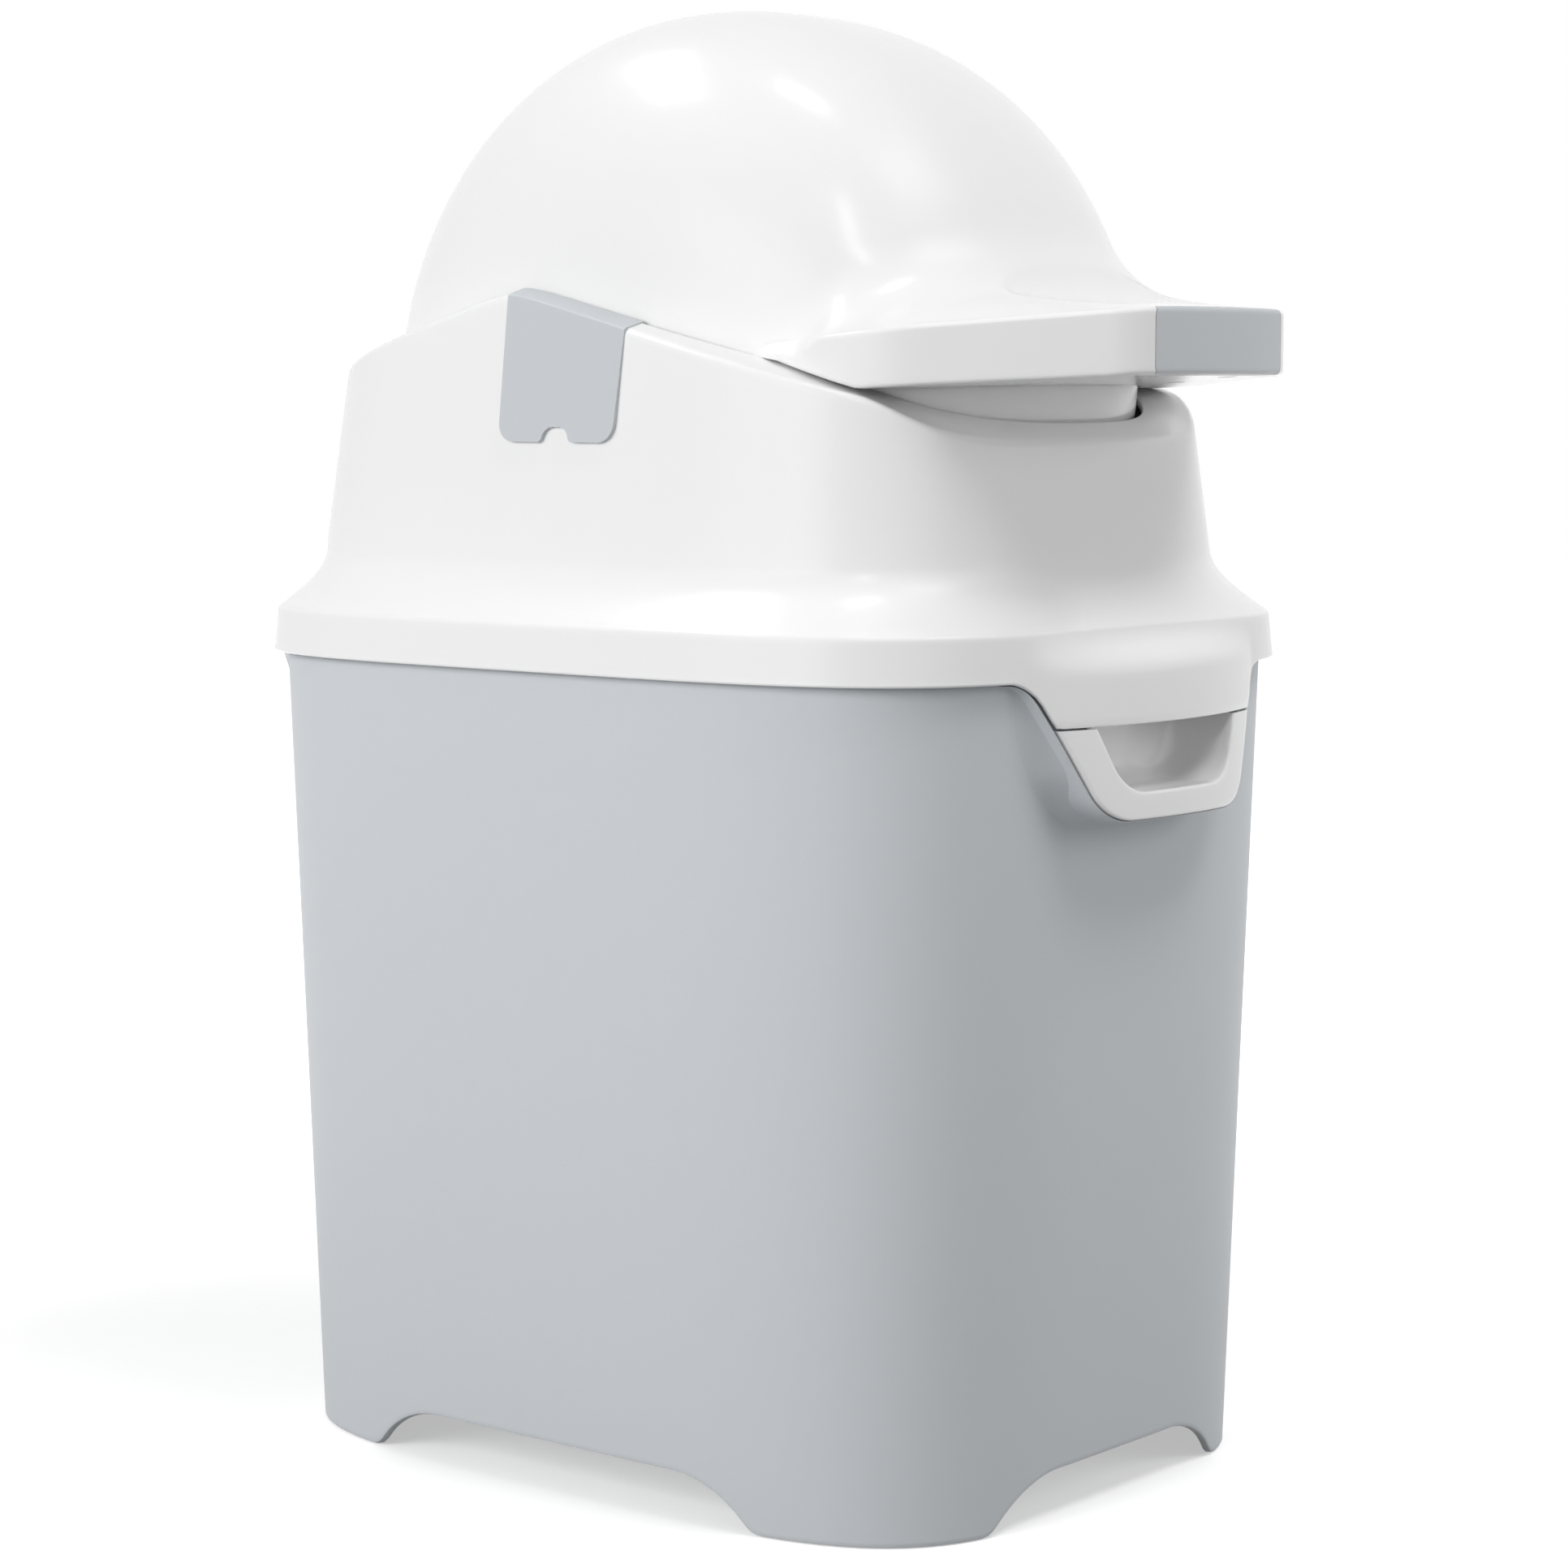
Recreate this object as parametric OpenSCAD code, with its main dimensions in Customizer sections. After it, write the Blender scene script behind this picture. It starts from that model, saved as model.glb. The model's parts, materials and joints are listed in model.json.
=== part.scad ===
// Nappy bin with a flip drum. A tub stands on four feet and carries a hinged head.
// A drum with a broad handle turns in the head, and a weighted piston slides in the drum's chute.
// Front is -Y, up is +Z, and the origin is on the floor under the middle of the tub.

/* [Tub] */
// Half width of the tub at the floor, along X
tub_foot_x = 120; // [112:1:123]
// Half depth of the tub at the floor, along Y
tub_foot_y = 158; // [150:1:161]
// Half width of the tub at its rim
tub_rim_x = 129.7; // [128:0.1:131]
// Half depth of the tub at its rim
tub_rim_y = 166.2; // [164.5:0.1:168]
// Height of the tub's rim above the floor
tub_h = 300; // [280:1:310]
// Squareness of the plan outlines, 2 is an ellipse
plan_square = 4.05; // [3.5:0.05:4.5]
// Thickness of the tub's wall
tub_wall = 2.6; // [2:0.1:3.5]
// Width of the thickened rim
rim_bead_w = 5.5; // [4.5:0.1:6.5]
// Height of the thickened rim
rim_bead_h = 6; // [4:0.5:9]
// Height of the raised floor's underside
floor_z = 21; // [19:0.5:30]
// Thickness of the raised floor
floor_t = 2.8; // [2:0.1:4]
// Height of the arches between the feet
arch_h = 17.3; // [12:0.1:18]
// Half span of the arch in each side, at the floor
side_arch_span = 90; // [80:1:98]
// Half span of the arches in the front and back, at the floor
front_arch_span = 68; // [60:1:76]
// Radius of the bend at the top of an arch
arch_bend_r = 42; // [25:1:46]
// Radius of the toe where an arch meets the floor
arch_toe_r = 8; // [4:0.5:10]

/* [Front boss and finger pocket] */
// Radius of the boss's curved face, in plan
face_r = 180.5; // [160:0.5:200]
// Distance of the face in front of the tub's middle, at the apron's lower edge
face_reach = 182.1; // [180:0.1:184]
// Outward lean of the face, per mm of drop
face_lean = 0.09; // [0.05:0.01:0.12]
// Drop of the grip frame's top edge below the tub's rim
frame_drop = 25.7; // [24.5:0.1:27]
// Height of the grip frame
frame_h = 31.3; // [28:0.1:34]
// Half width of the grip frame at its top edge
frame_top_x = 57.7; // [54:0.1:60]
// Half width of the grip frame at its bottom edge
frame_bottom_x = 39.6; // [37.5:0.1:42]
// Width of the frame's side arms, measured across
frame_arm = 16; // [13:0.5:17]
// Width of the frame's bottom bar
frame_bar = 9.3; // [7:0.1:12]
// Thickness of the grip frame's face
frame_t = 3; // [2.5:0.1:3.5]
// Depth of the finger pocket, back from the face
pocket_depth = 26; // [22:0.5:29]
// Thickness of the pocket's walls
pocket_wall = 2; // [1.5:0.1:2.5]
// Drop of the pocket's roof below the skirt's lower edge
pocket_drop = 7.1; // [5.5:0.1:9]
// Clearance round pieces that are set into another
set_gap = 0.2; // [0.15:0.05:0.3]

/* [Lid hinge] */
// Distance of the hinge's axis behind the tub's middle
hinge_y = 177; // [176.5:0.5:180]
// Height of the hinge's axis above the skirt's lower edge
hinge_rise = 0.6; // [0.4:0.1:1.5]
// Distance of each hinge from the middle
hinge_x = 62; // [45:1:75]
// Radius of the hinge barrels
barrel_r = 5.5; // [5:0.1:5.6]
// Width of the head's knuckle
knuckle_w = 12; // [9:0.5:16]
// Thickness of each ear on the tub
ear_t = 5; // [4:0.5:7]
// Radius of the hinge pins
pin_r = 2.5; // [2:0.1:3]
// Gap between a knuckle's face and an ear
ear_gap = 0.3; // [0.2:0.05:0.5]

/* [Head] */
// Thickness of the head's wall
head_wall = 2.5; // [2:0.1:2.8]
// Gap between the tub's rim and the skirt
skirt_gap = 1.6; // [1.2:0.1:2]
// Reach of the skirt below the tub's rim
skirt_drop = 9.6; // [8:0.1:11]
// Height of the skirt's upright band
band_h = 16; // [14:0.5:18]
// Inward lean of the band over its height
band_lean = 1.4; // [1:0.1:1.8]
// Height of the cove above the band
cove_h = 21.6; // [18:0.1:24]
// Inward run of the cove
cove_run = 15.8; // [14:0.1:17]
// Inward lean of the upper wall, per mm of height
wall_lean = 0.115; // [0.1:0.005:0.12]
// Height of the shoulder's peak above the tub's rim
peak_rise = 119.2; // [116:0.1:121]
// Distance of the shoulder's peak behind the tub's middle
peak_y = 30; // [24:1:36]
// Fall of the shoulder towards the front, per mm
front_fall = 0.245; // [0.22:0.005:0.26]
// Fall of the shoulder towards the back, per mm
back_fall = 0.27; // [0.26:0.005:0.3]
// Extra drop of the rim's outer edge at the front and back
rim_drop = 8.7; // [6:0.1:10]
// Lift of the rim's inner edge at the sides
lip_lift = 2.5; // [1.5:0.1:3]
// Drop of the rim's inner edge at the front and back, from its lift
lip_drop = 6; // [4:0.5:7]
// Thickness of the rim's lip
lip_t = 3; // [2:0.1:3.5]
// Gap between the drum and the rim's lip
lip_gap = 1.1; // [1:0.1:1.5]

/* [Drum] */
// Half width of the drum, along its axle
drum_w = 96.7; // [95.5:0.1:97]
// Radius of the dome
dome_r = 141.4; // [140:0.1:142]
// Roundness of the drum's section, 2 is an ellipse
drum_round = 2.75; // [2.6:0.05:2.9]
// Distance of the axle behind the tub's middle
axle_y = 2.3; // [1:0.1:3]
// Height of the axle above the tub's rim
axle_rise = 98; // [96:0.5:99]
// Depth of the dome's centre below the axle
dome_sink = 17.4; // [14:0.1:19]
// Thickness of the drum's shells
drum_wall = 2.6; // [2:0.1:3]
// Gap of the seam between the drum's shells
seam = 0.1; // [0.05:0.05:0.2]
// Depth of the bowl's flat bottom below the axle
bowl_depth = 82; // [80:0.5:84]

/* [Handle] */
// Half width of the handle where it leaves the drum
handle_root_x = 94.8; // [92:0.1:95.5]
// Distance of the handle's shoulder in front of the tub's middle
handle_root_y = 102; // [98:1:106]
// Radius of the handle's shoulder, in plan
handle_bend_r = 60; // [45:1:70]
// Inward taper of each side of the handle, per mm of reach
handle_taper = 0.656; // [0.6:0.005:0.68]
// Reach of the handle's tip in front of the tub's middle
handle_reach = 199.2; // [195:0.1:203]
// Radius of the tip's bowed face, in plan
tip_bow_r = 265; // [220:1:320]
// Radius of the tip's corners, in plan
tip_corner_r = 6; // [4:0.5:7]
// Depth of the handle's lower face below the axle, where the head's rim starts to fall away
handle_under = 11; // [10.2:0.1:11.2]
// Thickness of the handle's side at that place
handle_side_h = 18.3; // [16:0.1:20]
// Upward slope of the lower face towards the tip
under_slope = 0.057; // [0.05:0.001:0.065]
// Upward slope of the side's top edge towards the tip
side_slope = 0.105; // [0.095:0.001:0.112]
// Rise of the handle's top to the dome, above the tip
handle_rise = 11; // [9:0.5:13]
// Radius of the hollow fillet between the handle and the dome
handle_fillet = 22; // [16:1:24]
// Height above the axle where that fillet starts on the dome
fillet_top = 32; // [28:1:36]
// Half width of the thumb dish
dish_x = 50; // [40:1:52]
// Half length of the thumb dish, front to back
dish_y = 23; // [16:1:24]
// Depth of the thumb dish
dish_depth = 2; // [1:0.1:2.2]
// Half width of the grip insert
insert_x = 37.7; // [34:0.1:38.5]
// Thickness of the grip insert
insert_t = 3; // [2:0.1:3.5]
// Thickness of the handle's base plate
base_t = 2.4; // [2:0.1:3]

/* [Chute and piston] */
// Inner radius of the chute
chute_r = 72; // [68:0.5:73]
// Thickness of the chute's wall
chute_wall = 2.4; // [2:0.1:3]
// Height of the chute's closed end above the axle
chute_top = 86; // [80:0.5:87]
// Width of the flange at the chute's mouth
flange_w = 7.6; // [7:0.1:8]
// Thickness of the retaining ring
ring_t = 2.4; // [2:0.1:3]
// Reach of the retaining ring inside the chute
ring_lip = 5.5; // [4:0.5:8]
// Running clearance between the piston's seal and the chute
piston_gap = 0.3; // [0.25:0.05:0.4]
// Height of the piston
piston_h = 60; // [50:1:66]
// Thickness of the piston's wall
piston_wall = 2.4; // [2:0.1:3]
// Height of the piston's cast weight
weight_h = 14; // [10:0.5:18]

/* [Axle, cradles and clips] */
// Radius of the axle's journals
axle_r = 9; // [8:0.1:9.5]
// Running clearance of a journal in its cradle
axle_clear = 0.06; // [0.04:0.01:0.08]
// Length of each journal outside the drum
journal_len = 7.6; // [7:0.1:7.8]
// Half width of a clip at its lower edge
clip_bottom_y = 26.6; // [25:0.1:27]
// Half width of a clip at its upper edge
clip_top_y = 28.2; // [27.5:0.1:29]
// Depth of a clip's lower edge below the axle
clip_drop = 29.5; // [28:0.1:31]
// Thickness of a clip's face
clip_t = 2.6; // [2:0.1:2.8]
// Radius of a clip's lower corners
clip_corner_r = 7; // [5:0.5:9]
// Radius of the finger notch in a clip's lower edge
notch_r = 5; // [4:0.1:6]
// Gap round a clip
clip_gap = 0.45; // [0.35:0.05:0.6]

/* [Screws] */
// Radius of the screws' shanks
screw_r = 1.6; // [1.4:0.1:1.8]
// Radius of the screws' heads
screw_head_r = 3.2; // [2.8:0.1:3.4]
// Height of the screws' heads
screw_head_h = 1.8; // [1.5:0.1:2.2]
// Radius of the posts that the screws enter
post_r = 5; // [4.5:0.1:5.5]

/* [Hidden] */
$fn = 96;
plan_steps = 80;
far = 700;
eps = 0.01;

tub_grey = "#BCC1C5";
clip_grey = "#B7BCC0";
white = "#F4F4F4";
rubber_grey = "#8C9093";
steel = "silver";
iron = "#55585A";

skirt_z = tub_h - skirt_drop;
skirt_x = tub_rim_x + skirt_gap + head_wall;
skirt_y = tub_rim_y + skirt_gap + head_wall;
band_top_z = skirt_z + band_h;
cove_edge = 1;
cove_z = band_top_z + cove_edge;
wall_z = cove_z + cove_h;
peak_z = tub_h + peak_rise;
hinge_z = skirt_z + hinge_rise;
frame_top_z = tub_h - frame_drop;
frame_bottom_z = frame_top_z - frame_h;
axle_z = tub_h + axle_rise;
dome_z = axle_z - dome_sink;
// The drum sweeps this radius about the axle, where the dome meets the bowl.
sweep_r = sqrt(dome_r * dome_r - dome_sink * dome_sink);
bowl_z = axle_z - bowl_depth;
seal_top_z = tub_h + 4.6;
seal_gap = 0.3;
apron_gap = 0.6;
// Lengths of the screws by where they go
collar_screw_len = 12;
base_screw_len = 11;
drum_screw_bite = 10;
ring_screw_len = 8;

// Points and outlines

function unit(v) = v / norm(v);
function mix(a, b, s) = a + (b - a) * s;
function clamp01(s) = min(1, max(0, s));
function ease(s) = let (c = clamp01(s)) c * c * (3 - 2 * c);

// Radius of a squared ellipse in direction t
function plan_r(t, a, b, n) = pow(pow(abs(cos(t)) / a, n) + pow(abs(sin(t)) / b, n), -1 / n);
function plan_angles() = [for (i = [0 : plan_steps - 1]) i * 360 / plan_steps];
function plan_ring(a, b, z, yc = 0, n = plan_square) =
  [for (t = plan_angles()) let (r = plan_r(t, a, b, n)) [r * cos(t), yc + r * sin(t), z]];
function plan_outline(a, b, yc = 0, n = plan_square) =
  [for (p = plan_ring(a, b, 0, yc, n)) [p[0], p[1]]];

// Arc of radius r that rounds the corner b between its neighbours a and c
function corner(a, b, c, r, steps = 6) =
  let (u = unit(a - b), v = unit(c - b), half = acos(u * v) / 2,
       centre = b + unit(u + v) * r / sin(half),
       start = b + u * r / tan(half) - centre,
       end = b + v * r / tan(half) - centre,
       a0 = atan2(start[1], start[0]),
       turn = (atan2(end[1], end[0]) - a0 + 900) % 360 - 180)
  [for (i = [0 : steps]) centre + r * [cos(a0 + turn * i / steps), sin(a0 + turn * i / steps)]];
// Outline whose corners [x, y, radius] are rounded where the radius is over 0
function rounded(corners) =
  let (n = len(corners), p = [for (c = corners) [c[0], c[1]]])
  [for (i = [0 : n - 1])
    each corners[i][2] > 0 ? corner(p[(i + n - 1) % n], p[i], p[(i + 1) % n], corners[i][2]) : [p[i]]];
// Corners of one side, followed by their mirror images in reverse
function both_sides(corners) =
  let (n = len(corners))
  concat(corners, [for (i = [0 : n - 1]) let (c = corners[n - 1 - i]) [-c[0], c[1], c[2]]]);

// Solid through a stack of rings with the same number of points, closed by flat ends
module loft(rings) {
  n = len(rings[0]);
  m = len(rings);
  sides = [for (k = [0 : m - 2], i = [0 : n - 1])
    let (j = (i + 1) % n, a = k * n, b = a + n)
    each [[a + i, b + j, a + j], [a + i, b + i, b + j]]];
  ends = [[for (i = [0 : n - 1]) i], [for (i = [0 : n - 1]) m * n - 1 - i]];
  polyhedron([for (r = rings) each r], concat(sides, ends));
}

// Hollow ring whose section is a closed loop of rings
module loop_loft(rings) {
  n = len(rings[0]);
  m = len(rings);
  faces = [for (k = [0 : m - 1], i = [0 : n - 1])
    let (j = (i + 1) % n, a = k * n, b = ((k + 1) % m) * n)
    each [[a + i, b + j, a + j], [a + i, b + i, b + j]]];
  polyhedron([for (r = rings) each r], faces);
}

// Flat ring between two plan outlines
module plan_band(outer, inner, z, h) {
  translate([0, 0, z])
    linear_extrude(h)
      difference() {
        polygon(outer);
        polygon(inner);
      }
}

// Outline in X and Z, extruded from y0 to y1
module along_y(y0, y1) {
  translate([0, y1, 0])
    rotate([90, 0, 0])
      linear_extrude(y1 - y0)
        children();
}

// Outline in Y and Z, extruded from x0 to x1
module along_x(x0, x1) {
  translate([x0, 0, 0])
    rotate([90, 0, 90])
      linear_extrude(x1 - x0)
        children();
}

// Cylinder with its axis along X, from x0 to x1
module rod_x(x0, x1, y, z, r) {
  translate([x0, y, z])
    rotate([0, 90, 0])
      cylinder(h = x1 - x0, r = r);
}

module below(z) {
  translate([-far, -far, z - far])
    cube([2 * far, 2 * far, far]);
}

module above(z) {
  translate([-far, -far, z])
    cube([2 * far, 2 * far, far]);
}

module mirror_x() {
  children();
  mirror([1, 0, 0]) children();
}

// Screw with its head's underside at z, pointing up
module screw_up(x, y, z, length) {
  translate([x, y, z - screw_head_h])
    cylinder(h = screw_head_h, r = screw_head_r);
  translate([x, y, z - eps])
    cylinder(h = length + eps, r = screw_r);
}

// Tub

function tub_x(z) = mix(tub_foot_x, tub_rim_x, z / tub_h);
function tub_y(z) = mix(tub_foot_y, tub_rim_y, z / tub_h);
// The tub's points stand close together in the corners and far apart on its flat sides
function signed_pow(v, e) = sign(v) * pow(abs(v), e);
function tub_ring(z, inset) =
  let (e = 2 / plan_square)
  [for (t = plan_angles())
    [(tub_x(z) - inset) * signed_pow(cos(t), e), (tub_y(z) - inset) * signed_pow(sin(t), e), z]];

module tub_wall_ring() {
  edge = 0.8;
  loop_loft([
    tub_ring(0, 0.5),
    tub_ring(edge, 0),
    tub_ring(tub_h - edge, 0),
    tub_ring(tub_h, edge),
    tub_ring(tub_h, rim_bead_w - edge),
    tub_ring(tub_h - edge, rim_bead_w),
    tub_ring(tub_h - rim_bead_h, rim_bead_w),
    tub_ring(tub_h - rim_bead_h - 4, tub_wall),
    tub_ring(0, tub_wall)
  ]);
}

module tub_floor() {
  inset = tub_wall / 2;
  translate([0, 0, floor_z])
    linear_extrude(floor_t)
      polygon([for (p = tub_ring(floor_z, inset)) [p[0], p[1]]]);
}

// Opening between two feet, in the wall that the outline crosses
function arch_outline(span) =
  rounded(concat(
    [[span + 20, -5, 0], [span + 20, 0, 0], [span, 0, arch_toe_r], [span - arch_h, arch_h, arch_bend_r]],
    [[-span + arch_h, arch_h, arch_bend_r], [-span, 0, arch_toe_r], [-span - 20, 0, 0], [-span - 20, -5, 0]]
  ));

// Ribs under the floor, from foot to foot
module floor_ribs() {
  rib_t = 2.2;
  rib_h = floor_z - arch_h + 0.5;
  for (y = [-1, 1])
    translate([-tub_foot_x + tub_wall - 1, y * tub_foot_y * 0.38 - rib_t / 2, floor_z - rib_h + eps])
      cube([2 * (tub_foot_x - tub_wall + 1), rib_t, rib_h]);
  for (x = [-1, 1])
    translate([x * tub_foot_x * 0.38 - rib_t / 2, -tub_foot_y + tub_wall - 1, floor_z - rib_h + eps])
      cube([rib_t, 2 * (tub_foot_y - tub_wall + 1), rib_h]);
}

// Curved face of the boss, less a depth: a cone about an upright axis
module face_cone(depth) {
  axis_y = face_r - face_reach;
  z0 = frame_bottom_z - 20;
  z1 = tub_h + 20;
  function cone_r(z) = face_r + face_lean * (frame_top_z - z) - depth;
  translate([0, axis_y, z0])
    cylinder(h = z1 - z0, r1 = cone_r(z0), r2 = cone_r(z1), $fn = 180);
}

boss_shoulder_x = 77;
frame_corner_r = 16;
frame_bottom = [frame_bottom_x, frame_bottom_z, frame_corner_r];
frame_outline = rounded(both_sides([[frame_top_x, frame_top_z, 1.5], frame_bottom]));
boss_outline = rounded(both_sides([
  [boss_shoulder_x + 6, skirt_z - 0.5, 0],
  [frame_top_x + 9, skirt_z - 0.5, 12],
  [frame_top_x, frame_top_z, 4],
  frame_bottom
]));
apron_outline = rounded(both_sides([
  [boss_shoulder_x + 12, skirt_z + 3, 0],
  [boss_shoulder_x + 12, skirt_z - 0.1, 0],
  [frame_top_x + 9, skirt_z - 0.1, 12],
  [frame_top_x, frame_top_z + apron_gap, 1]
]));

// Boss on the tub's front, flaring towards the wall
module front_boss() {
  draft = 1.09;
  tip_y = -face_reach - 6;
  base_y = -tub_y(frame_bottom_z) + tub_wall;
  pivot_z = (frame_top_z + frame_bottom_z) / 2 + 20;
  intersection() {
    translate([0, tip_y, pivot_z])
      rotate([-90, 0, 0])
        linear_extrude(base_y - tip_y, scale = draft)
          mirror([0, 1])
            translate([0, -pivot_z])
              polygon(boss_outline);
    face_cone(frame_t + set_gap);
    below(skirt_z - 0.5);
  }
}

// Space for the fingers, tapering towards the back
pocket_top_z = skirt_z - pocket_drop;
pocket_corner_r = 12;
function pocket_outline(grow, top_z) = rounded(both_sides([
  [frame_top_x - frame_arm + grow, top_z + grow, 3],
  [frame_bottom_x - frame_arm + 6 + grow, frame_bottom_z + frame_bar - grow, pocket_corner_r + grow]
]));

module pocket_space(grow) {
  along_y(-face_reach - 20, -face_reach + pocket_depth + grow)
    polygon(pocket_outline(grow, pocket_top_z));
}

module hinge_ears() {
  wall_y = tub_rim_y - 5;
  root_z = hinge_z - 42;
  strut = [
    [wall_y, root_z], [tub_y(root_z) - 1, root_z],
    [hinge_y + barrel_r, hinge_z - 3], [hinge_y + barrel_r, hinge_z],
    [hinge_y - barrel_r, hinge_z], [hinge_y - barrel_r, skirt_z - 3],
    [wall_y, skirt_z - 3]
  ];
  inner = knuckle_w / 2 + ear_gap;
  for (x = [-hinge_x, hinge_x], s = [-1, 1]) {
    x0 = x + (s > 0 ? inner : -inner - ear_t);
    along_x(x0, x0 + ear_t)
      polygon(strut);
    rod_x(x0, x0 + ear_t, hinge_y, hinge_z, barrel_r);
  }
}

module tub() {
  color(tub_grey)
    difference() {
      union() {
        tub_wall_ring();
        tub_floor();
        floor_ribs();
        front_boss();
        hinge_ears();
      }
      along_x(-far, far)
        polygon(arch_outline(side_arch_span));
      along_y(-far, far)
        polygon(arch_outline(front_arch_span));
      pocket_space(pocket_wall + set_gap);
      for (x = [-hinge_x, hinge_x])
        rod_x(x - 20, x + 20, hinge_y, hinge_z, pin_r + 0.02);
    }
}

// Grip frame and finger pocket, one moulding let into the boss
module grip_pocket() {
  color(white)
    difference() {
      union() {
        intersection() {
          along_y(-face_reach - 20, -face_reach + 30)
            polygon(frame_outline);
          difference() {
            face_cone(0);
            face_cone(frame_t);
          }
        }
        // The cup meets the frame, and stays behind the head's apron above it.
        intersection() {
          pocket_space(pocket_wall);
          face_cone(frame_t - 0.5);
          below(frame_top_z);
        }
        intersection() {
          pocket_space(pocket_wall);
          face_cone(frame_t + set_gap);
        }
      }
      pocket_space(0);
    }
}

module hinge_pins() {
  half = knuckle_w / 2 + ear_gap + ear_t;
  color(steel)
    for (x = [-hinge_x, hinge_x])
      rod_x(x - half, x + half, hinge_y, hinge_z, pin_r);
}

// Head

// Inset of the head's outer face from the skirt's lower edge, at height z
function cove_inset(s) = band_lean + cove_edge + cove_run * sin(90 * s);
function head_inset(z) = band_lean + cove_edge + cove_run + wall_lean * (z - wall_z);
function shoulder(y) =
  let (d = y - peak_y, soft = 6)
  peak_z - (d < 0 ? front_fall : back_fall) * (sqrt(d * d + soft * soft) - soft);
function end_blend(y, start, run) = ease((abs(y - axle_y) - start) / run);
function rim_z(y) = shoulder(y) - rim_drop * end_blend(y, 119, 29);
function lip_z(y) = shoulder(y) + lip_lift - lip_drop * end_blend(y, 88, 52);
lip_x = drum_w + lip_gap;
lip_y = sweep_r + lip_gap;

// The band bulges at the front, where its direction is within this slope, to meet the boss's face
bulge_slope = 0.56;
function face_plan_r(t) =
  let (axis_y = face_r - face_reach, r = face_r + face_lean * (frame_top_z - skirt_z), s = sin(t))
  axis_y * s + sqrt(r * r - axis_y * axis_y * (1 - s * s));
function bulge_r(t, inset, w) =
  let (r = plan_r(t, skirt_x - inset, skirt_y - inset, plan_square))
  sin(t) < 0 && abs(cos(t)) < -sin(t) * bulge_slope ? max(r, mix(r, face_plan_r(t) - inset, w)) : r;
function band_ring(z, inset, w) =
  [for (t = plan_angles()) let (r = bulge_r(t, inset, w)) [r * cos(t), r * sin(t), z]];
function wall_ring(z, inset, shift) =
  plan_ring(skirt_x - inset, skirt_y - inset, z, axle_y * shift);
function rim_ring(extra, drop) =
  [for (t = plan_angles())
    let (guess = plan_r(t, skirt_x - head_inset(axle_z), skirt_y - head_inset(axle_z), plan_square),
         z = rim_z(axle_y + guess * sin(t)),
         inset = head_inset(z) + extra,
         r = plan_r(t, skirt_x - inset, skirt_y - inset, plan_square))
    [r * cos(t), axle_y + r * sin(t), z - drop]];
function lip_ring(drop) =
  [for (t = plan_angles())
    let (r = plan_r(t, lip_x, lip_y, drum_round), y = axle_y + r * sin(t))
    [r * cos(t), y, lip_z(y) - drop]];

module head_wall_ring() {
  w = head_wall;
  ledge_inset = band_lean + 7.5;
  loop_loft(concat(
    [band_ring(skirt_z, 0, 1), band_ring(band_top_z - 8, band_lean / 2, 0.45)],
    [band_ring(band_top_z, band_lean, 0)],
    [for (s = [0, 0.12, 0.26, 0.42, 0.6, 0.8, 1]) wall_ring(cove_z + cove_h * s, cove_inset(s), s)],
    [rim_ring(0, 0), lip_ring(0), lip_ring(lip_t), rim_ring(w, lip_t + 0.8)],
    [wall_ring(wall_z, head_inset(wall_z) + w, 1)],
    [for (s = [0.7, 0.4]) wall_ring(cove_z + cove_h * s - w * 0.6, cove_inset(s) + w * 0.9, s)],
    [wall_ring(seal_top_z, ledge_inset, 0)],
    [band_ring(seal_top_z, band_lean + w - 0.3, 0), band_ring(skirt_z + 0.5, w, 1)]
  ));
}

module apron() {
  intersection() {
    along_y(-face_reach - 20, -face_reach + 60)
      polygon(apron_outline);
    difference() {
      face_cone(0);
      face_cone(frame_t - set_gap);
      loft([tub_ring(skirt_z - 20, -set_gap), tub_ring(tub_h, -set_gap)]);
    }
  }
}

module knuckles() {
  z1 = hinge_z + 9;
  arm = [
    [skirt_y - 5, hinge_z], [hinge_y, hinge_z], [hinge_y, hinge_z + barrel_r],
    [skirt_y + 1, z1], [skirt_y - 5, z1]
  ];
  for (x = [-hinge_x, hinge_x]) {
    x0 = x - knuckle_w / 2;
    along_x(x0, x0 + knuckle_w)
      polygon(arm);
    rod_x(x0, x0 + knuckle_w, hinge_y, hinge_z, barrel_r);
  }
}

// Place of the collar's screws, one in each corner of the head
post_x = 89;
post_y = 119;
collar_z = axle_z - 46;
collar_t = 2.4;

module at_posts() {
  for (x = [-post_x, post_x], y = [-post_y, post_y])
    translate([x, axle_y + y, 0])
      children();
}

// Outline of a clip, seen from the side, with its sides carried on upwards
function clip_outline(grow) =
  let (yc = axle_y, b = axle_z - clip_drop - grow, w0 = clip_bottom_y + grow, w1 = clip_top_y + grow,
       up = 4, wide = w0 + up * (w1 - w0), top = b + up * 50)
  concat(
    corner([yc + wide, top], [yc + w0, b], [yc - w0, b], clip_corner_r),
    corner([yc + w0, b], [yc - w0, b], [yc - wide, top], clip_corner_r),
    [[yc - wide, top], [yc + wide, top]]
  );

// Everything under the shoulder's line, less a depth, beside the axle
module under_shoulder(depth) {
  along_x(0, far)
    polygon(concat(
      [[axle_y + 55, axle_z - 80], [axle_y - 55, axle_z - 80]],
      [for (i = [0 : 22]) let (y = axle_y - 55 + 5 * i) [y, shoulder(y) - depth]]
    ));
}

// Wall's outer face beside the axle, from z0 to z1 and from x0 outwards
function wall_x(z) = skirt_x - head_inset(z);
function slab(x0, z0, z1, depth) =
  [[x0, z0], [wall_x(z0) - depth, z0], [wall_x(z1) - depth, z1], [x0, z1]];

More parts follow.
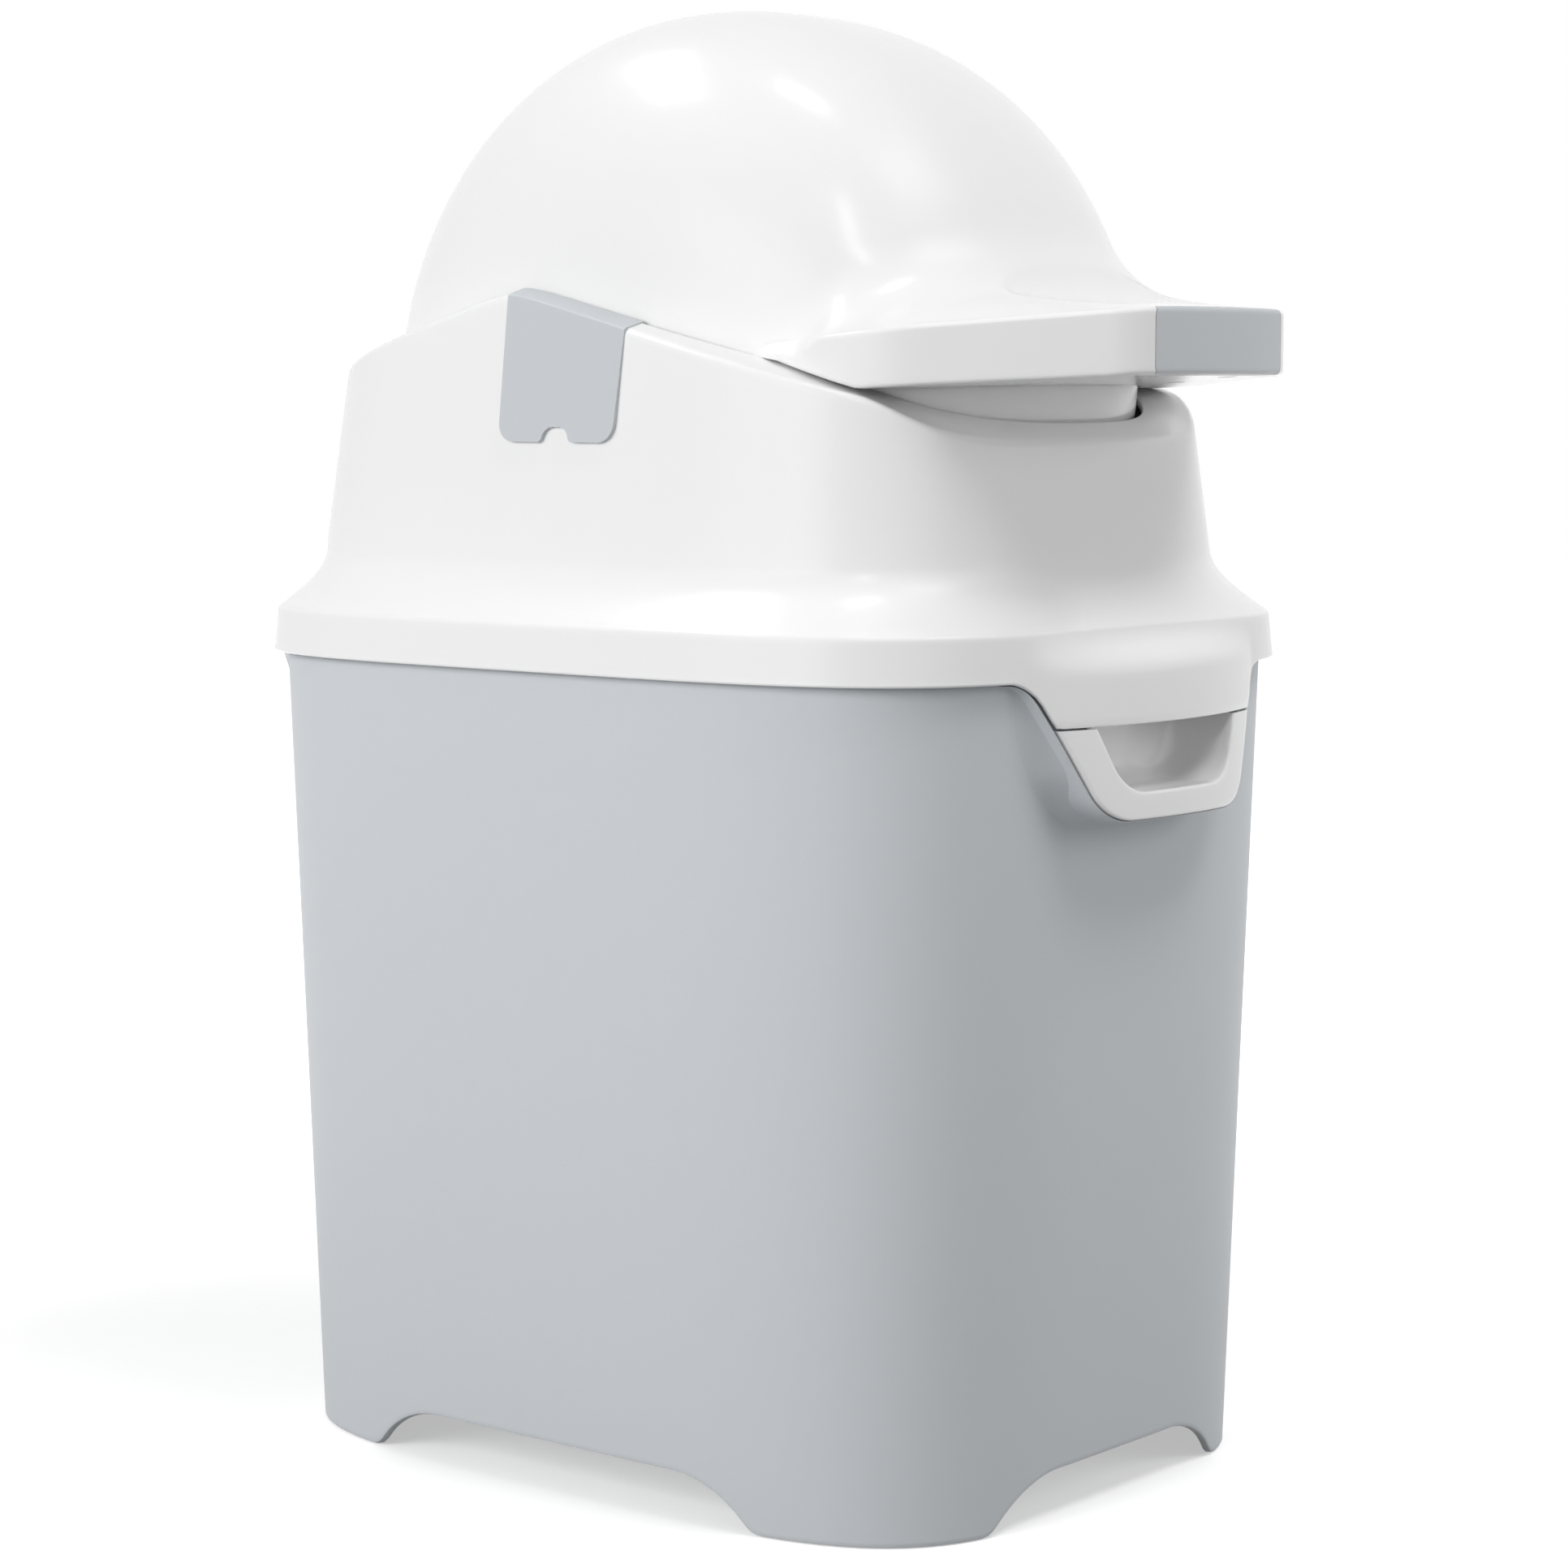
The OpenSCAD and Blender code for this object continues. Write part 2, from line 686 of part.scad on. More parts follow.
module clip_bay(side) {
  x0 = side > 0 ? lip_x - 5 : -far;
  x1 = side > 0 ? far : -lip_x + 5;
  along_x(x0, x1)
    polygon(clip_outline(clip_gap));
}

module head_shell() {
  color(white)
    difference() {
      union() {
        head_wall_ring();
        apron();
        difference() {
          knuckles();
          loft([wall_ring(skirt_z - 5, head_wall + 1, 0), wall_ring(skirt_z + 30, head_wall + 1, 0)]);
        }
        intersection() {
          at_posts()
            translate([0, 0, collar_z + collar_t])
              cylinder(h = collar_screw_len + 4, r = post_r);
          loft([for (z = [collar_z, peak_z]) wall_ring(z, head_inset(z) + 1, 1)]);
        }
        mirror_x()
          for (y = [-cradle_screw_y, cradle_screw_y])
            rod_x(cradle_x + cradle_tab + 0.05, wall_x(cradle_screw_z) - 1.2, axle_y + y, cradle_screw_z,
              cradle_post_r);
      }
      clip_bay(1);
      clip_bay(-1);
      for (y = [-cradle_screw_y, cradle_screw_y])
        rod_x(-cradle_bore_x, cradle_bore_x, axle_y + y, cradle_screw_z, screw_r + 0.05);
      for (x = [-hinge_x, hinge_x])
        rod_x(x - 20, x + 20, hinge_y, hinge_z, pin_r + 0.06);
      at_posts()
        translate([0, 0, collar_z])
          cylinder(h = collar_screw_len + 2, r = screw_r + 0.05);
    }
}

module lid_seal() {
  outer = tub_rim_x - 0.8;
  inner = tub_rim_x - rim_bead_w + 0.6;
  dy = tub_rim_y - tub_rim_x;
  color(rubber_grey)
    plan_band(plan_outline(outer, outer + dy), plan_outline(inner, inner + dy), tub_h + seal_gap,
      seal_top_z - tub_h - seal_gap);
}

// Half width and half depth of the drum's sweep at a depth below the axle
function sweep_x(d) = drum_w * pow(1 - pow(d / sweep_r, drum_round), 1 / drum_round);
function sweep_y(d) = sqrt(sweep_r * sweep_r - d * d);
collar_gap = 1.2;
collar_set = 0.8;
collar_d = axle_z - collar_z;

module drum_collar() {
  outer_x = wall_x(collar_z) - head_wall - collar_set;
  outer_y = skirt_y - head_inset(collar_z) - head_wall - collar_set;
  in_x = sweep_x(collar_d - 8) + collar_gap;
  in_y = sweep_y(collar_d - 8) + collar_gap;
  color(white)
    difference() {
      union() {
        plan_band(plan_outline(outer_x, outer_y, axle_y), plan_outline(in_x, in_y, axle_y, drum_round),
          collar_z, collar_t);
        plan_band(plan_outline(in_x + 6.5, in_y + 6.5, axle_y, drum_round),
          plan_outline(in_x + 4.6, in_y + 4.6, axle_y, drum_round), collar_z + 1, 6);
      }
      at_posts()
        translate([0, 0, collar_z - 1])
          cylinder(h = collar_t + 2.6, r = screw_r + 0.15);
    }
}

module drum_seal() {
  in_x = sweep_x(collar_d - 8) + 0.45;
  in_y = sweep_y(collar_d - 8) + 0.45;
  color(rubber_grey)
    plan_band(plan_outline(in_x + 5.1, in_y + 5.1, axle_y, drum_round),
      plan_outline(in_x, in_y, axle_y, drum_round), collar_z + collar_t + 0.05, 4);
}

module collar_screws() {
  color(steel)
    for (x = [-post_x, post_x], y = [-post_y, post_y])
      screw_up(x, axle_y + y, collar_z - 0.05, collar_screw_len);
}

// Block behind a clip, with the open slot that carries a journal, and a tab at each side
cradle_x = drum_w + 0.9;
cradle_low = axle_z - clip_drop - 6;
cradle_wide = clip_top_y + 9;
cradle_tab = 3;
cradle_screw_y = cradle_wide - 4.5;
cradle_screw_z = cradle_low + 10;
cradle_screw_len = 9;
cradle_post_r = 4.2;
recess_r = 8;
cradle_bore_x = cradle_x + cradle_screw_len + 0.4;

// Scooped hollow behind the notch in a clip's lower edge
module finger_recess() {
  notch_z = axle_z - clip_drop;
  intersection() {
    along_y(axle_y - notch_r - 1, axle_y + notch_r + 1)
      translate([wall_x(notch_z) + 0.5, notch_z + recess_r - 1.5])
        circle(r = recess_r);
    above(notch_z - clip_gap);
  }
}

module cradle() {
  slot_r = axle_r + axle_clear;
  clear = 0.3;
  difference() {
    union() {
      along_y(axle_y - cradle_wide, axle_y + cradle_wide)
        polygon([
          [cradle_x, cradle_low], [cradle_x + cradle_tab, cradle_low],
          [cradle_x + cradle_tab, cradle_low + 20], [cradle_x, cradle_low + 20]
        ]);
      intersection() {
        along_y(axle_y - clip_bottom_y + clear, axle_y + clip_bottom_y - clear)
          polygon(slab(cradle_x, cradle_low, peak_z, clip_t + clear));
        under_shoulder(clip_t + clear);
      }
    }
    rod_x(0, far, axle_y, axle_z, slot_r);
    translate([0, axle_y - slot_r, axle_z])
      cube([far, 2 * slot_r, far]);
    finger_recess();
    for (y = [-cradle_screw_y, cradle_screw_y])
      rod_x(0, far, axle_y + y, cradle_screw_z, screw_r + 0.15);
  }
}

module cradle_screw_pair() {
  for (y = [-cradle_screw_y, cradle_screw_y]) {
    rod_x(cradle_x - 0.2, cradle_x + cradle_screw_len, axle_y + y, cradle_screw_z, screw_r);
    rod_x(cradle_x - 0.05 - screw_head_h / 3, cradle_x - 0.05, axle_y + y, cradle_screw_z, screw_head_r);
  }
}

module cradle_screws() {
  color(steel)
    mirror_x() cradle_screw_pair();
}

// Clip that caps a cradle: a face let into the wall, a top over the shoulder and a saddle on the journal
module clip() {
  clear = 0.25;
  flange_x = lip_x - 0.3;
  lean_top = wall_x(axle_z + 20);
  difference() {
    union() {
      difference() {
        intersection() {
          along_x(flange_x, far)
            polygon(clip_outline(0));
          under_shoulder(-lip_lift / 2);
          along_y(axle_y - 40, axle_y + 40)
            polygon([
              [0, axle_z - 50], [wall_x(axle_z - 50), axle_z - 50],
              [wall_x(axle_z + 5), axle_z + 5], [lean_top, axle_z + 20], [lean_top - 2, axle_z + 30],
              [0, axle_z + 30]
            ]);
        }
        intersection() {
          along_y(axle_y - 40, axle_y + 40)
            polygon([
              [0, axle_z - 60], [wall_x(axle_z - 60) - clip_t, axle_z - 60],
              [wall_x(axle_z + 30) - clip_t, axle_z + 30], [0, axle_z + 30]
            ]);
          under_shoulder(clip_t);
        }
      }
      // Saddle between the slot's cheeks
      intersection() {
        translate([cradle_x + 0.4, axle_y - axle_r + clear, axle_z])
          cube([journal_len - 1, 2 * (axle_r - clear), far]);
        under_shoulder(1);
      }
    }
    rod_x(0, drum_w + 0.15 + journal_len + 0.3, axle_y, axle_z, axle_r + 0.35);
    // Finger notch with flared sides
    along_x(0, far)
      polygon(rounded([
        [axle_y + 20, axle_z - clip_drop - 8, 0],
        [axle_y + 20, axle_z - clip_drop, 0],
        [axle_y + notch_r + 2.5, axle_z - clip_drop, 3],
        [axle_y + notch_r - 0.6, axle_z - clip_drop + notch_r + 1.2, 3.6],
        [axle_y - notch_r + 0.6, axle_z - clip_drop + notch_r + 1.2, 3.6],
        [axle_y - notch_r - 2.5, axle_z - clip_drop, 3],
        [axle_y - 20, axle_z - clip_drop, 0],
        [axle_y - 20, axle_z - clip_drop - 8, 0]
      ]));
  }
}

// Drum

// Half section of the drum: radius against distance along the axle
function drum_section(r, w) =
  let (steps = 16, e = 2 / drum_round)
  [for (i = [-steps : steps])
    let (u = 90 * i / steps)
    [r * pow(cos(u), e), w * sign(u) * pow(abs(sin(u)), e)]];

module drum_body(r, w, y, z) {
  translate([0, y, z])
    rotate([0, 90, 0])
      rotate_extrude()
        polygon(drum_section(r, w));
}

module dome_body(inset) {
  drum_body(dome_r - inset, drum_w - inset, axle_y, dome_z);
}

module bowl_body(inset) {
  drum_body(sweep_r - inset, drum_w - inset, axle_y, axle_z);
}

// Half width of the handle at a place in front of the tub's middle
handle_angle = atan(handle_taper);
function handle_x(y) =
  let (d = -y - handle_root_y, bend = handle_bend_r * sin(handle_angle),
       side = d <= 0 ? handle_root_x - d * d / 290
         : d < bend ? handle_root_x - handle_bend_r + sqrt(handle_bend_r * handle_bend_r - d * d)
         : handle_root_x - handle_bend_r * (1 - cos(handle_angle)) - handle_taper * (d - bend),
       c = min(tip_corner_r, max(0, -y - (handle_reach - 3 - tip_corner_r))))
  side - tip_corner_r + sqrt(tip_corner_r * tip_corner_r - c * c);

fall_y = -116;
handle_low = axle_z - handle_under;
function handle_under_z(y) = handle_low + (y > fall_y ? 0.27 * (y - fall_y) : under_slope * (fall_y - y));
function handle_side_z(y) = handle_low + handle_side_h + side_slope * (fall_y - y);
tip_z = handle_side_z(-handle_reach);
function handle_top_z(y) =
  max(handle_side_z(y) + 0.3, tip_z + handle_rise * pow(clamp01((y + handle_reach) / 71), 1.4));

// Depth of the oval dish for the thumbs
function dish(x, y) =
  dish_depth * pow(clamp01(1 - pow(x / dish_x, 2) - pow((y + 152) / dish_y, 2)), 1);

// Section of the handle across Y, drawn in by an inset
function handle_ring(y, inset, low) =
  let (x = handle_x(y) - inset, side = handle_side_z(y) - inset, top = handle_top_z(y) - inset,
       base = min(low, side - 0.5), steps = 12)
  concat(
    [[x, y, base]],
    [for (i = [0 : steps])
      let (s = 1 - 2 * i / steps, crown = (top - side) * (1 - pow(abs(s), 3)))
      [x * s, y, side + crown - dish(x * s, y)]],
    [[-x, y, base]]
  );
handle_stations = concat(
  [-67, -78, -90, -102, -109, -116, -123, -130, -137, -145, -152, -160, -167, -175, -183],
  [for (d = [9.2, 6.2, 4.2, 2.2, 0.6]) d - handle_reach]
);

module handle_body(inset, open_below) {
  loft([for (y = handle_stations) handle_ring(y, inset, open_below ? handle_low - 20 : handle_under_z(y))]);
}

// Hollow fillet round the dome's front, let into its skin by an inset and fading towards the back
module handle_cove(inset) {
  rings = 7;
  drop = handle_fillet * 0.96;
  back = handle_stations[0] - 7;
  loft([for (k = [-1 : rings])
    let (d = drop * (1 - max(k, 0) / rings),
         z = axle_z + fillet_top - d - (k < 0 ? 7 : 0),
         f = handle_fillet - sqrt(handle_fillet * handle_fillet - d * d),
         dz = z - dome_z,
         a = drum_w * pow(1 - pow(dz / dome_r, drum_round), 1 / drum_round),
         b = sqrt(dome_r * dome_r - dz * dz))
    [for (t = plan_angles())
      let (r = plan_r(t, a, b, drum_round),
           fade = ease((back - axle_y - r * sin(t)) / 40),
           reach = r + f * fade - inset - 1.2 * (1 - fade))
      [reach * cos(t), axle_y + reach * sin(t), z]]]);
}

// Upright prism over the handle's outline, drawn in by an inset
module handle_prism(inset) {
  sides = [for (y = handle_stations) [handle_x(y) - inset, y]];
  n = len(sides);
  translate([0, 0, handle_low])
    linear_extrude(80)
      polygon(concat(sides, [for (i = [0 : n - 1]) [-sides[n - 1 - i][0], sides[n - 1 - i][1]]]));
}

module tip_cylinder(inset) {
  translate([0, tip_bow_r - handle_reach, 0])
    cylinder(h = 2 * far, r = tip_bow_r - inset, $fn = 180);
}

module insert_box(grow) {
  translate([-insert_x - grow, -handle_reach - 5, handle_low - 10])
    cube([2 * (insert_x + grow), 25, 60]);
}

// Posts inside the drum that join the dome to the bowl
drum_post_x = 70;
drum_post_y = 96;
drum_post_h = 26;

module at_drum_posts() {
  for (x = [-drum_post_x, drum_post_x], y = [-drum_post_y, drum_post_y])
    translate([x, axle_y + y, 0])
      children();
}

module axle_bore(grow) {
  rod_x(-far, far, axle_y, axle_z, axle_r - 3 + grow);
}

// Posts inside the handle for the base plate's screws
base_screw_x = [40, 24];
base_screw_y = [47.2 - handle_reach, 15.2 - handle_reach];
base_back_y = -116;
// Depth of the counterbores for the base plate's screws
base_sink = 1.4;

module at_base_screws() {
  for (i = [0, 1], s = [-1, 1])
    translate([s * base_screw_x[i], base_screw_y[i], 0])
      children();
}

module dome_shell() {
  color(white)
    difference() {
      union() {
        difference() {
          intersection() {
            dome_body(0);
            above(axle_z + seam);
          }
          dome_body(drum_wall);
        }
        difference() {
          intersection() {
            union() {
              handle_body(0, false);
              intersection() {
                handle_cove(0.4);
                handle_prism(0.05);
              }
            }
            tip_cylinder(0);
          }
          intersection() {
            handle_body(drum_wall, true);
            tip_cylinder(drum_wall + insert_t);
          }
          dome_body(1);
          intersection() {
            bowl_body(-0.4);
            below(axle_z + seam);
          }
        }
        intersection() {
          at_drum_posts()
            translate([0, 0, axle_z + seam])
              cylinder(h = 90, r = post_r);
          dome_body(0.8);
        }
        intersection() {
          at_base_screws()
            translate([0, 0, handle_low + base_t + 4.3])
              cylinder(h = axle_z - handle_low + fillet_top, r = post_r - 1);
          handle_body(0.8, false);
        }
      }
      difference() {
        insert_box(0.25);
        tip_cylinder(insert_t);
      }
      axle_bore(0.02);
      at_drum_posts()
        translate([0, 0, axle_z - 1])
          cylinder(h = drum_screw_bite + 3, r = screw_r + 0.05);
      at_base_screws()
        translate([0, 0, handle_low])
          cylinder(h = base_screw_len + 6, r = screw_r + 0.05);
    }
}

module grip_insert() {
  color(clip_grey)
    intersection() {
      difference() {
        insert_box(0);
        tip_cylinder(insert_t - 0.25);
      }
      handle_body(0, false);
      tip_cylinder(0);
    }
}

module handle_base() {
  side_gap = drum_wall + 0.25;
  color(white)
    difference() {
      intersection() {
        loft([for (y = handle_stations)
          let (x = handle_x(y) - side_gap, z = handle_under_z(y))
          [[x, y, z], [x, y, z + base_t], [-x, y, z + base_t], [-x, y, z]]]);
        tip_cylinder(drum_wall + insert_t + 0.25);
        translate([-far, -far, 0])
          cube([2 * far, far + base_back_y, far * 2]);
      }
      bowl_body(-1.2);
      at_base_screws()
        translate([0, 0, handle_low - 5])
          cylinder(h = axle_z - handle_low + 9, r = screw_r + 0.15);
      for (i = [0, 1], s = [-1, 1])
        translate([s * base_screw_x[i], base_screw_y[i], handle_under_z(base_screw_y[i]) - far])
          cylinder(h = far + base_sink, r = screw_head_r + 0.3);
    }
}

module base_screws() {
  color(steel)
    for (i = [0, 1], s = [-1, 1]) {
      y = base_screw_y[i];
      translate([s * base_screw_x[i], y, 0]) {
        translate([0, 0, handle_under_z(y) + base_sink - 1.15])
          cylinder(h = 1.1, r = screw_head_r);
        translate([0, 0, handle_under_z(y) + base_sink - 0.5])
          cylinder(h = base_screw_len, r = screw_r);
      }
    }
}

module drum_bowl() {
  color(white)
    difference() {
      union() {
        difference() {
          intersection() {
            bowl_body(0);
            below(axle_z);
            above(bowl_z);
          }
          difference() {
            bowl_body(drum_wall);
            below(bowl_z + drum_wall);
          }
        }
        intersection() {
          at_drum_posts()
            translate([0, 0, axle_z - 90])
              cylinder(h = 90, r = post_r);
          bowl_body(0.8);
        }
      }
      translate([0, axle_y, bowl_z - 1])
        cylinder(h = 10, r = chute_r + chute_wall + 0.3);
      axle_bore(0.02);
      at_drum_posts()
        translate([0, 0, axle_z - drum_post_h - 1])
          cylinder(h = drum_post_h + 2, r = screw_r + 0.15);
      at_drum_posts()
        translate([0, 0, bowl_z - drum_post_h])
          cylinder(h = axle_z - bowl_z, r = screw_head_r + 0.3);
      at_ring_screws()
        translate([0, 0, bowl_z - 1])
          cylinder(h = ring_screw_len, r = screw_r + 0.05);
    }
}

module drum_screws() {
  color(steel)
    for (x = [-drum_post_x, drum_post_x], y = [-drum_post_y, drum_post_y])
      screw_up(x, axle_y + y, axle_z - drum_post_h - 0.05, drum_post_h + drum_screw_bite);
}

// Journal with a spigot through the seam of the shells and a flange inside
module axle() {
  inner = drum_w - drum_wall;
  rod_x(drum_w + 0.15, drum_w + 0.15 + journal_len, axle_y, axle_z, axle_r);
  rod_x(inner - 3, drum_w + 0.2, axle_y, axle_z, axle_r - 3);
  rod_x(inner - 5.5, inner - 1, axle_y, axle_z, axle_r + 1);
}

module axle_left() {
  color(clip_grey)
    mirror([1, 0, 0]) axle();
}

module axle_right() {
  color(clip_grey)
    axle();
}

// Chute and piston

flange_r = chute_r + chute_wall + flange_w;
ring_z = bowl_z - chute_wall - ring_t;
ring_screw_r = chute_r + chute_wall + flange_w / 2;
piston_z = bowl_z - chute_wall + piston_gap;

module at_ring_screws() {
  for (i = [0 : 5])
    translate([ring_screw_r * cos(30 + 60 * i), axle_y + ring_screw_r * sin(30 + 60 * i), 0])
      children();
}

module turned(points) {
  translate([0, axle_y, 0])
    rotate_extrude()
      polygon(points);
}

module chute_cup() {
  top = axle_z + chute_top;
  color(white)
    difference() {
      turned([
        [chute_r, bowl_z - chute_wall], [flange_r, bowl_z - chute_wall], [flange_r, bowl_z],
        [chute_r + chute_wall, bowl_z], [chute_r + chute_wall, top - 6],
        [chute_r + chute_wall - 6, top], [0, top], [0, top - chute_wall],
        [chute_r - 5, top - chute_wall], [chute_r, top - 5 - chute_wall]
      ]);
      at_ring_screws()
        translate([0, 0, bowl_z - 10])
          cylinder(h = ring_screw_len + 4, r = screw_r + 0.15);
    }
}

module chute_ring() {
  color(white)
    difference() {
      turned([
        [chute_r - ring_lip, ring_z], [flange_r - 1.5, ring_z], [flange_r, ring_z + 1.2],
        [flange_r, bowl_z - chute_wall], [chute_r - ring_lip, bowl_z - chute_wall]
      ]);
      at_ring_screws()
        translate([0, 0, ring_z - 5])
          cylinder(h = ring_screw_len + 4, r = screw_r + 0.15);
    }
}

module ring_screws() {
  color(steel)
    at_ring_screws()
      screw_up(0, 0, ring_z - 0.05, ring_screw_len);
}

piston_r = chute_r - 0.7;
groove_z = piston_z + piston_h * 0.7;
bolt_r = 4;
bolt_boss_r = 7;

module piston_cup() {
  h = piston_h - 2.4;
  color(white)
    turned([
      [0, piston_z], [piston_r - 3, piston_z], [piston_r, piston_z + 3],
      [piston_r, groove_z], [piston_r - 1.8, groove_z], [piston_r - 1.8, groove_z + 4],
      [piston_r, groove_z + 4], [piston_r, piston_z + h], [piston_r - 2 * piston_wall, piston_z + h],
      [piston_r - 2 * piston_wall, piston_z + piston_wall], [bolt_boss_r, piston_z + piston_wall],
      [bolt_boss_r, piston_z + piston_wall + 9], [bolt_r, piston_z + piston_wall + 9],
      [bolt_r, piston_z + piston_wall], [0, piston_z + piston_wall]
    ]);
}

module piston_weight() {
  z = piston_z + piston_wall + 0.1;
  r = piston_r - 2 * piston_wall - 0.5;
  color(iron)
    difference() {
      turned([[0, z], [r, z], [r, z + weight_h - 1.5], [r - 1.5, z + weight_h], [0, z + weight_h]]);
      translate([0, axle_y, z - 1])
        cylinder(h = far, r = bolt_boss_r + 0.2);
    }
}

module piston_lid() {
  z = piston_z + piston_h - 2.4;
  color(white)
    difference() {
      turned([
        [0, z], [piston_r, z], [piston_r, z + 1.2], [piston_r - 1.2, z + 2.4], [0, z + 2.4]
      ]);
      translate([0, axle_y, z - 1])
        cylinder(h = 5, r = bolt_r + 0.1);
    }
}

module piston_seal() {
  color(rubber_grey)
    turned([
      [piston_r - 1.75, groove_z + 0.2], [chute_r - piston_gap, groove_z + 0.6],
      [chute_r - piston_gap, groove_z + 3.4], [piston_r - 1.75, groove_z + 3.8]
    ]);
}

// Bolt that holds the lid and the weight down on the cup
module weight_bolt() {
  z0 = piston_z + piston_wall + 0.1;
  z1 = piston_z + piston_h;
  color(steel)
    translate([0, axle_y, 0]) {
      translate([0, 0, z0])
        cylinder(h = z1 - z0, r = bolt_r - 0.02);
      translate([0, 0, z1])
        cylinder(h = 2.2, r = 7);
      translate([0, 0, z0 + weight_h + 0.1])
        cylinder(h = 3, r = 11);
    }
}

tub();
grip_pocket();
hinge_pins();
head_shell();
lid_seal();
drum_collar();
drum_seal();
collar_screws();
color(white) mirror([1, 0, 0]) cradle();  // cradle_left
color(white) cradle();  // cradle_right
cradle_screws();
color(clip_grey) mirror([1, 0, 0]) clip();  // clip_left
color(clip_grey) clip();  // clip_right
dome_shell();
drum_bowl();
drum_screws();
handle_base();
base_screws();
grip_insert();
axle_left();
axle_right();
chute_cup();
chute_ring();
ring_screws();
piston_cup();
piston_weight();
piston_lid();
piston_seal();
weight_bolt();
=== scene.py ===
"""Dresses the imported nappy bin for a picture: smooth shells, plastic materials and a white studio.

Lengths below are in millimetres and turn into metres when a mesh is made. Up is +Z and the front is -Y.
"""

import json
import math

import bmesh
import bpy
import numpy as np
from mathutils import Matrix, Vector


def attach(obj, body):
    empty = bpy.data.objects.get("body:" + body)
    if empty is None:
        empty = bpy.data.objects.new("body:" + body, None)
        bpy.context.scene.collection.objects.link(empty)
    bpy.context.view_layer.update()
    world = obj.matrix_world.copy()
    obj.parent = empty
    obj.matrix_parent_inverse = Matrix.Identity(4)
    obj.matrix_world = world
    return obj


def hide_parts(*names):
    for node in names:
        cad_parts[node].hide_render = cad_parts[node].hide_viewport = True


MM = 0.001

# Sizes shared with the frame's source: pairs are half widths across and front to back
TUB_FOOT = (120.0, 158.0)
TUB_RIM = (129.7, 166.2)
TUB_H = 300.0
TUB_WALL = 2.6
FLOOR_Z = (21.0, 23.8)
SQUARE = 4.05
SKIRT = (133.8, 170.3)
SKIRT_Z = 290.4
COVE_Z = 307.4
WALL_Z = 329.0
HEAD_WALL = 2.5
HEAD_STEP = 18.2
HEAD_LEAN = 0.115
AXLE_Y = 2.3
AXLE_Z = 398.0
DOME_Z = 380.6
DOME_R = 141.4
DRUM_W = 96.7
DRUM_WALL = 2.6
ROUND = 2.75
SWEEP_R = math.sqrt(DOME_R**2 - (AXLE_Z - DOME_Z) ** 2)
LIP = (97.8, SWEEP_R + 1.1)
FACE_R = 180.5
FACE_REACH = 182.1
FRAME_HALF = 57.7
FRAME_TOP = 274.3
FRAME_LOW = 242.9
FRAME_CORNER = 20.0
POCKET_HALF = 30.0
POCKET_LOW = 252.1
POCKET_TOP = 283.0
POCKET_BACK = -157.0
BOSS_TOP = 289.9
HINGE = (62.0, 177.0, 291.0)
HINGE_R = 5.5
CLIP_HALF = 26.6
CLIP_LOW = 368.5
CLIP_FLARE = 1.6 / 50
CLIP_WALL = 2.5
HANDLE_HALF = 94.8
HANDLE_TIP = 199.2
HANDLE_LOW = 387.0
HANDLE_BEND_Y = -116.0
INSERT_X = 37.7
BOWL_LOW = 316.0
MOUTH_R = 74.7

# Sizes that only the picture needs
DIRECTIONS = 480
CORNER_R = 6.5
SIDE_SLANT = 0.836
LIP_R = 1.8
DISH_DEPTH = 4.5
DISH_Y = -155.5
DOT_Y = -176.0
CLIP_EDGE = 1.0
SEAM = 0.28


# Meshes


def make_mesh(name, points, faces, smooth=True):
    """A mesh object from points in mm."""
    mesh = bpy.data.meshes.new(name)
    mesh.from_pydata((np.asarray(points, float) * MM).tolist(), [], faces)
    mesh.validate()
    mesh.polygons.foreach_set("use_smooth", [smooth] * len(mesh.polygons))
    mesh.update()
    obj = bpy.data.objects.new(name, mesh)
    bpy.context.scene.collection.objects.link(obj)
    return obj


def grid_faces(rows, cols, close_rows=False, close_cols=True):
    """Quads over a grid of points stored row by row."""
    faces = []
    for i in range(rows if close_rows else rows - 1):
        for j in range(cols if close_cols else cols - 1):
            across = (j + 1) % cols
            up = (i + 1) % rows * cols
            faces.append((i * cols + j, i * cols + across, up + across, up + j))
    return faces


def rings_mesh(name, rings, close_rows=False, cap_first=False, cap_last=False):
    """A skin through rings of equal length, each counter-clockwise seen from the last one."""
    n = len(rings[0])
    faces = grid_faces(len(rings), n, close_rows)
    if cap_first:
        faces.append(tuple(reversed(range(n))))
    if cap_last:
        faces.append(tuple(range((len(rings) - 1) * n, len(rings) * n)))
    return make_mesh(name, np.vstack(rings), faces)


def along_x(u, v, w):
    return (w, u, v)


def along_y(u, v, w):
    return (u, w, v)


def along_z(u, v, w):
    return (u, v, w)


def prism(name, outline, direction, depth):
    """A closed prism: the outline runs through the other two axes, the depth along the direction's axis."""
    n = len(outline)
    points = [direction(u, v, w) for w in depth for u, v in outline]
    faces = grid_faces(2, n)
    faces += [tuple(reversed(range(n))), tuple(range(n, 2 * n))]
    return make_mesh(name, points, faces, smooth=False)


def join(name, objs):
    """One object from several."""
    for o in bpy.context.selected_objects:
        o.select_set(False)
    for o in objs:
        o.select_set(True)
    bpy.context.view_layer.objects.active = objs[0]
    bpy.ops.object.join()
    objs[0].name = name
    objs[0].data.name = name
    return objs[0]


def apply_modifiers(obj):
    """Bakes an object's modifiers into its mesh."""
    graph = bpy.context.evaluated_depsgraph_get()
    graph.update()
    mesh = bpy.data.meshes.new_from_object(obj.evaluated_get(graph))
    obj.modifiers.clear()
    obj.data = mesh
    return obj


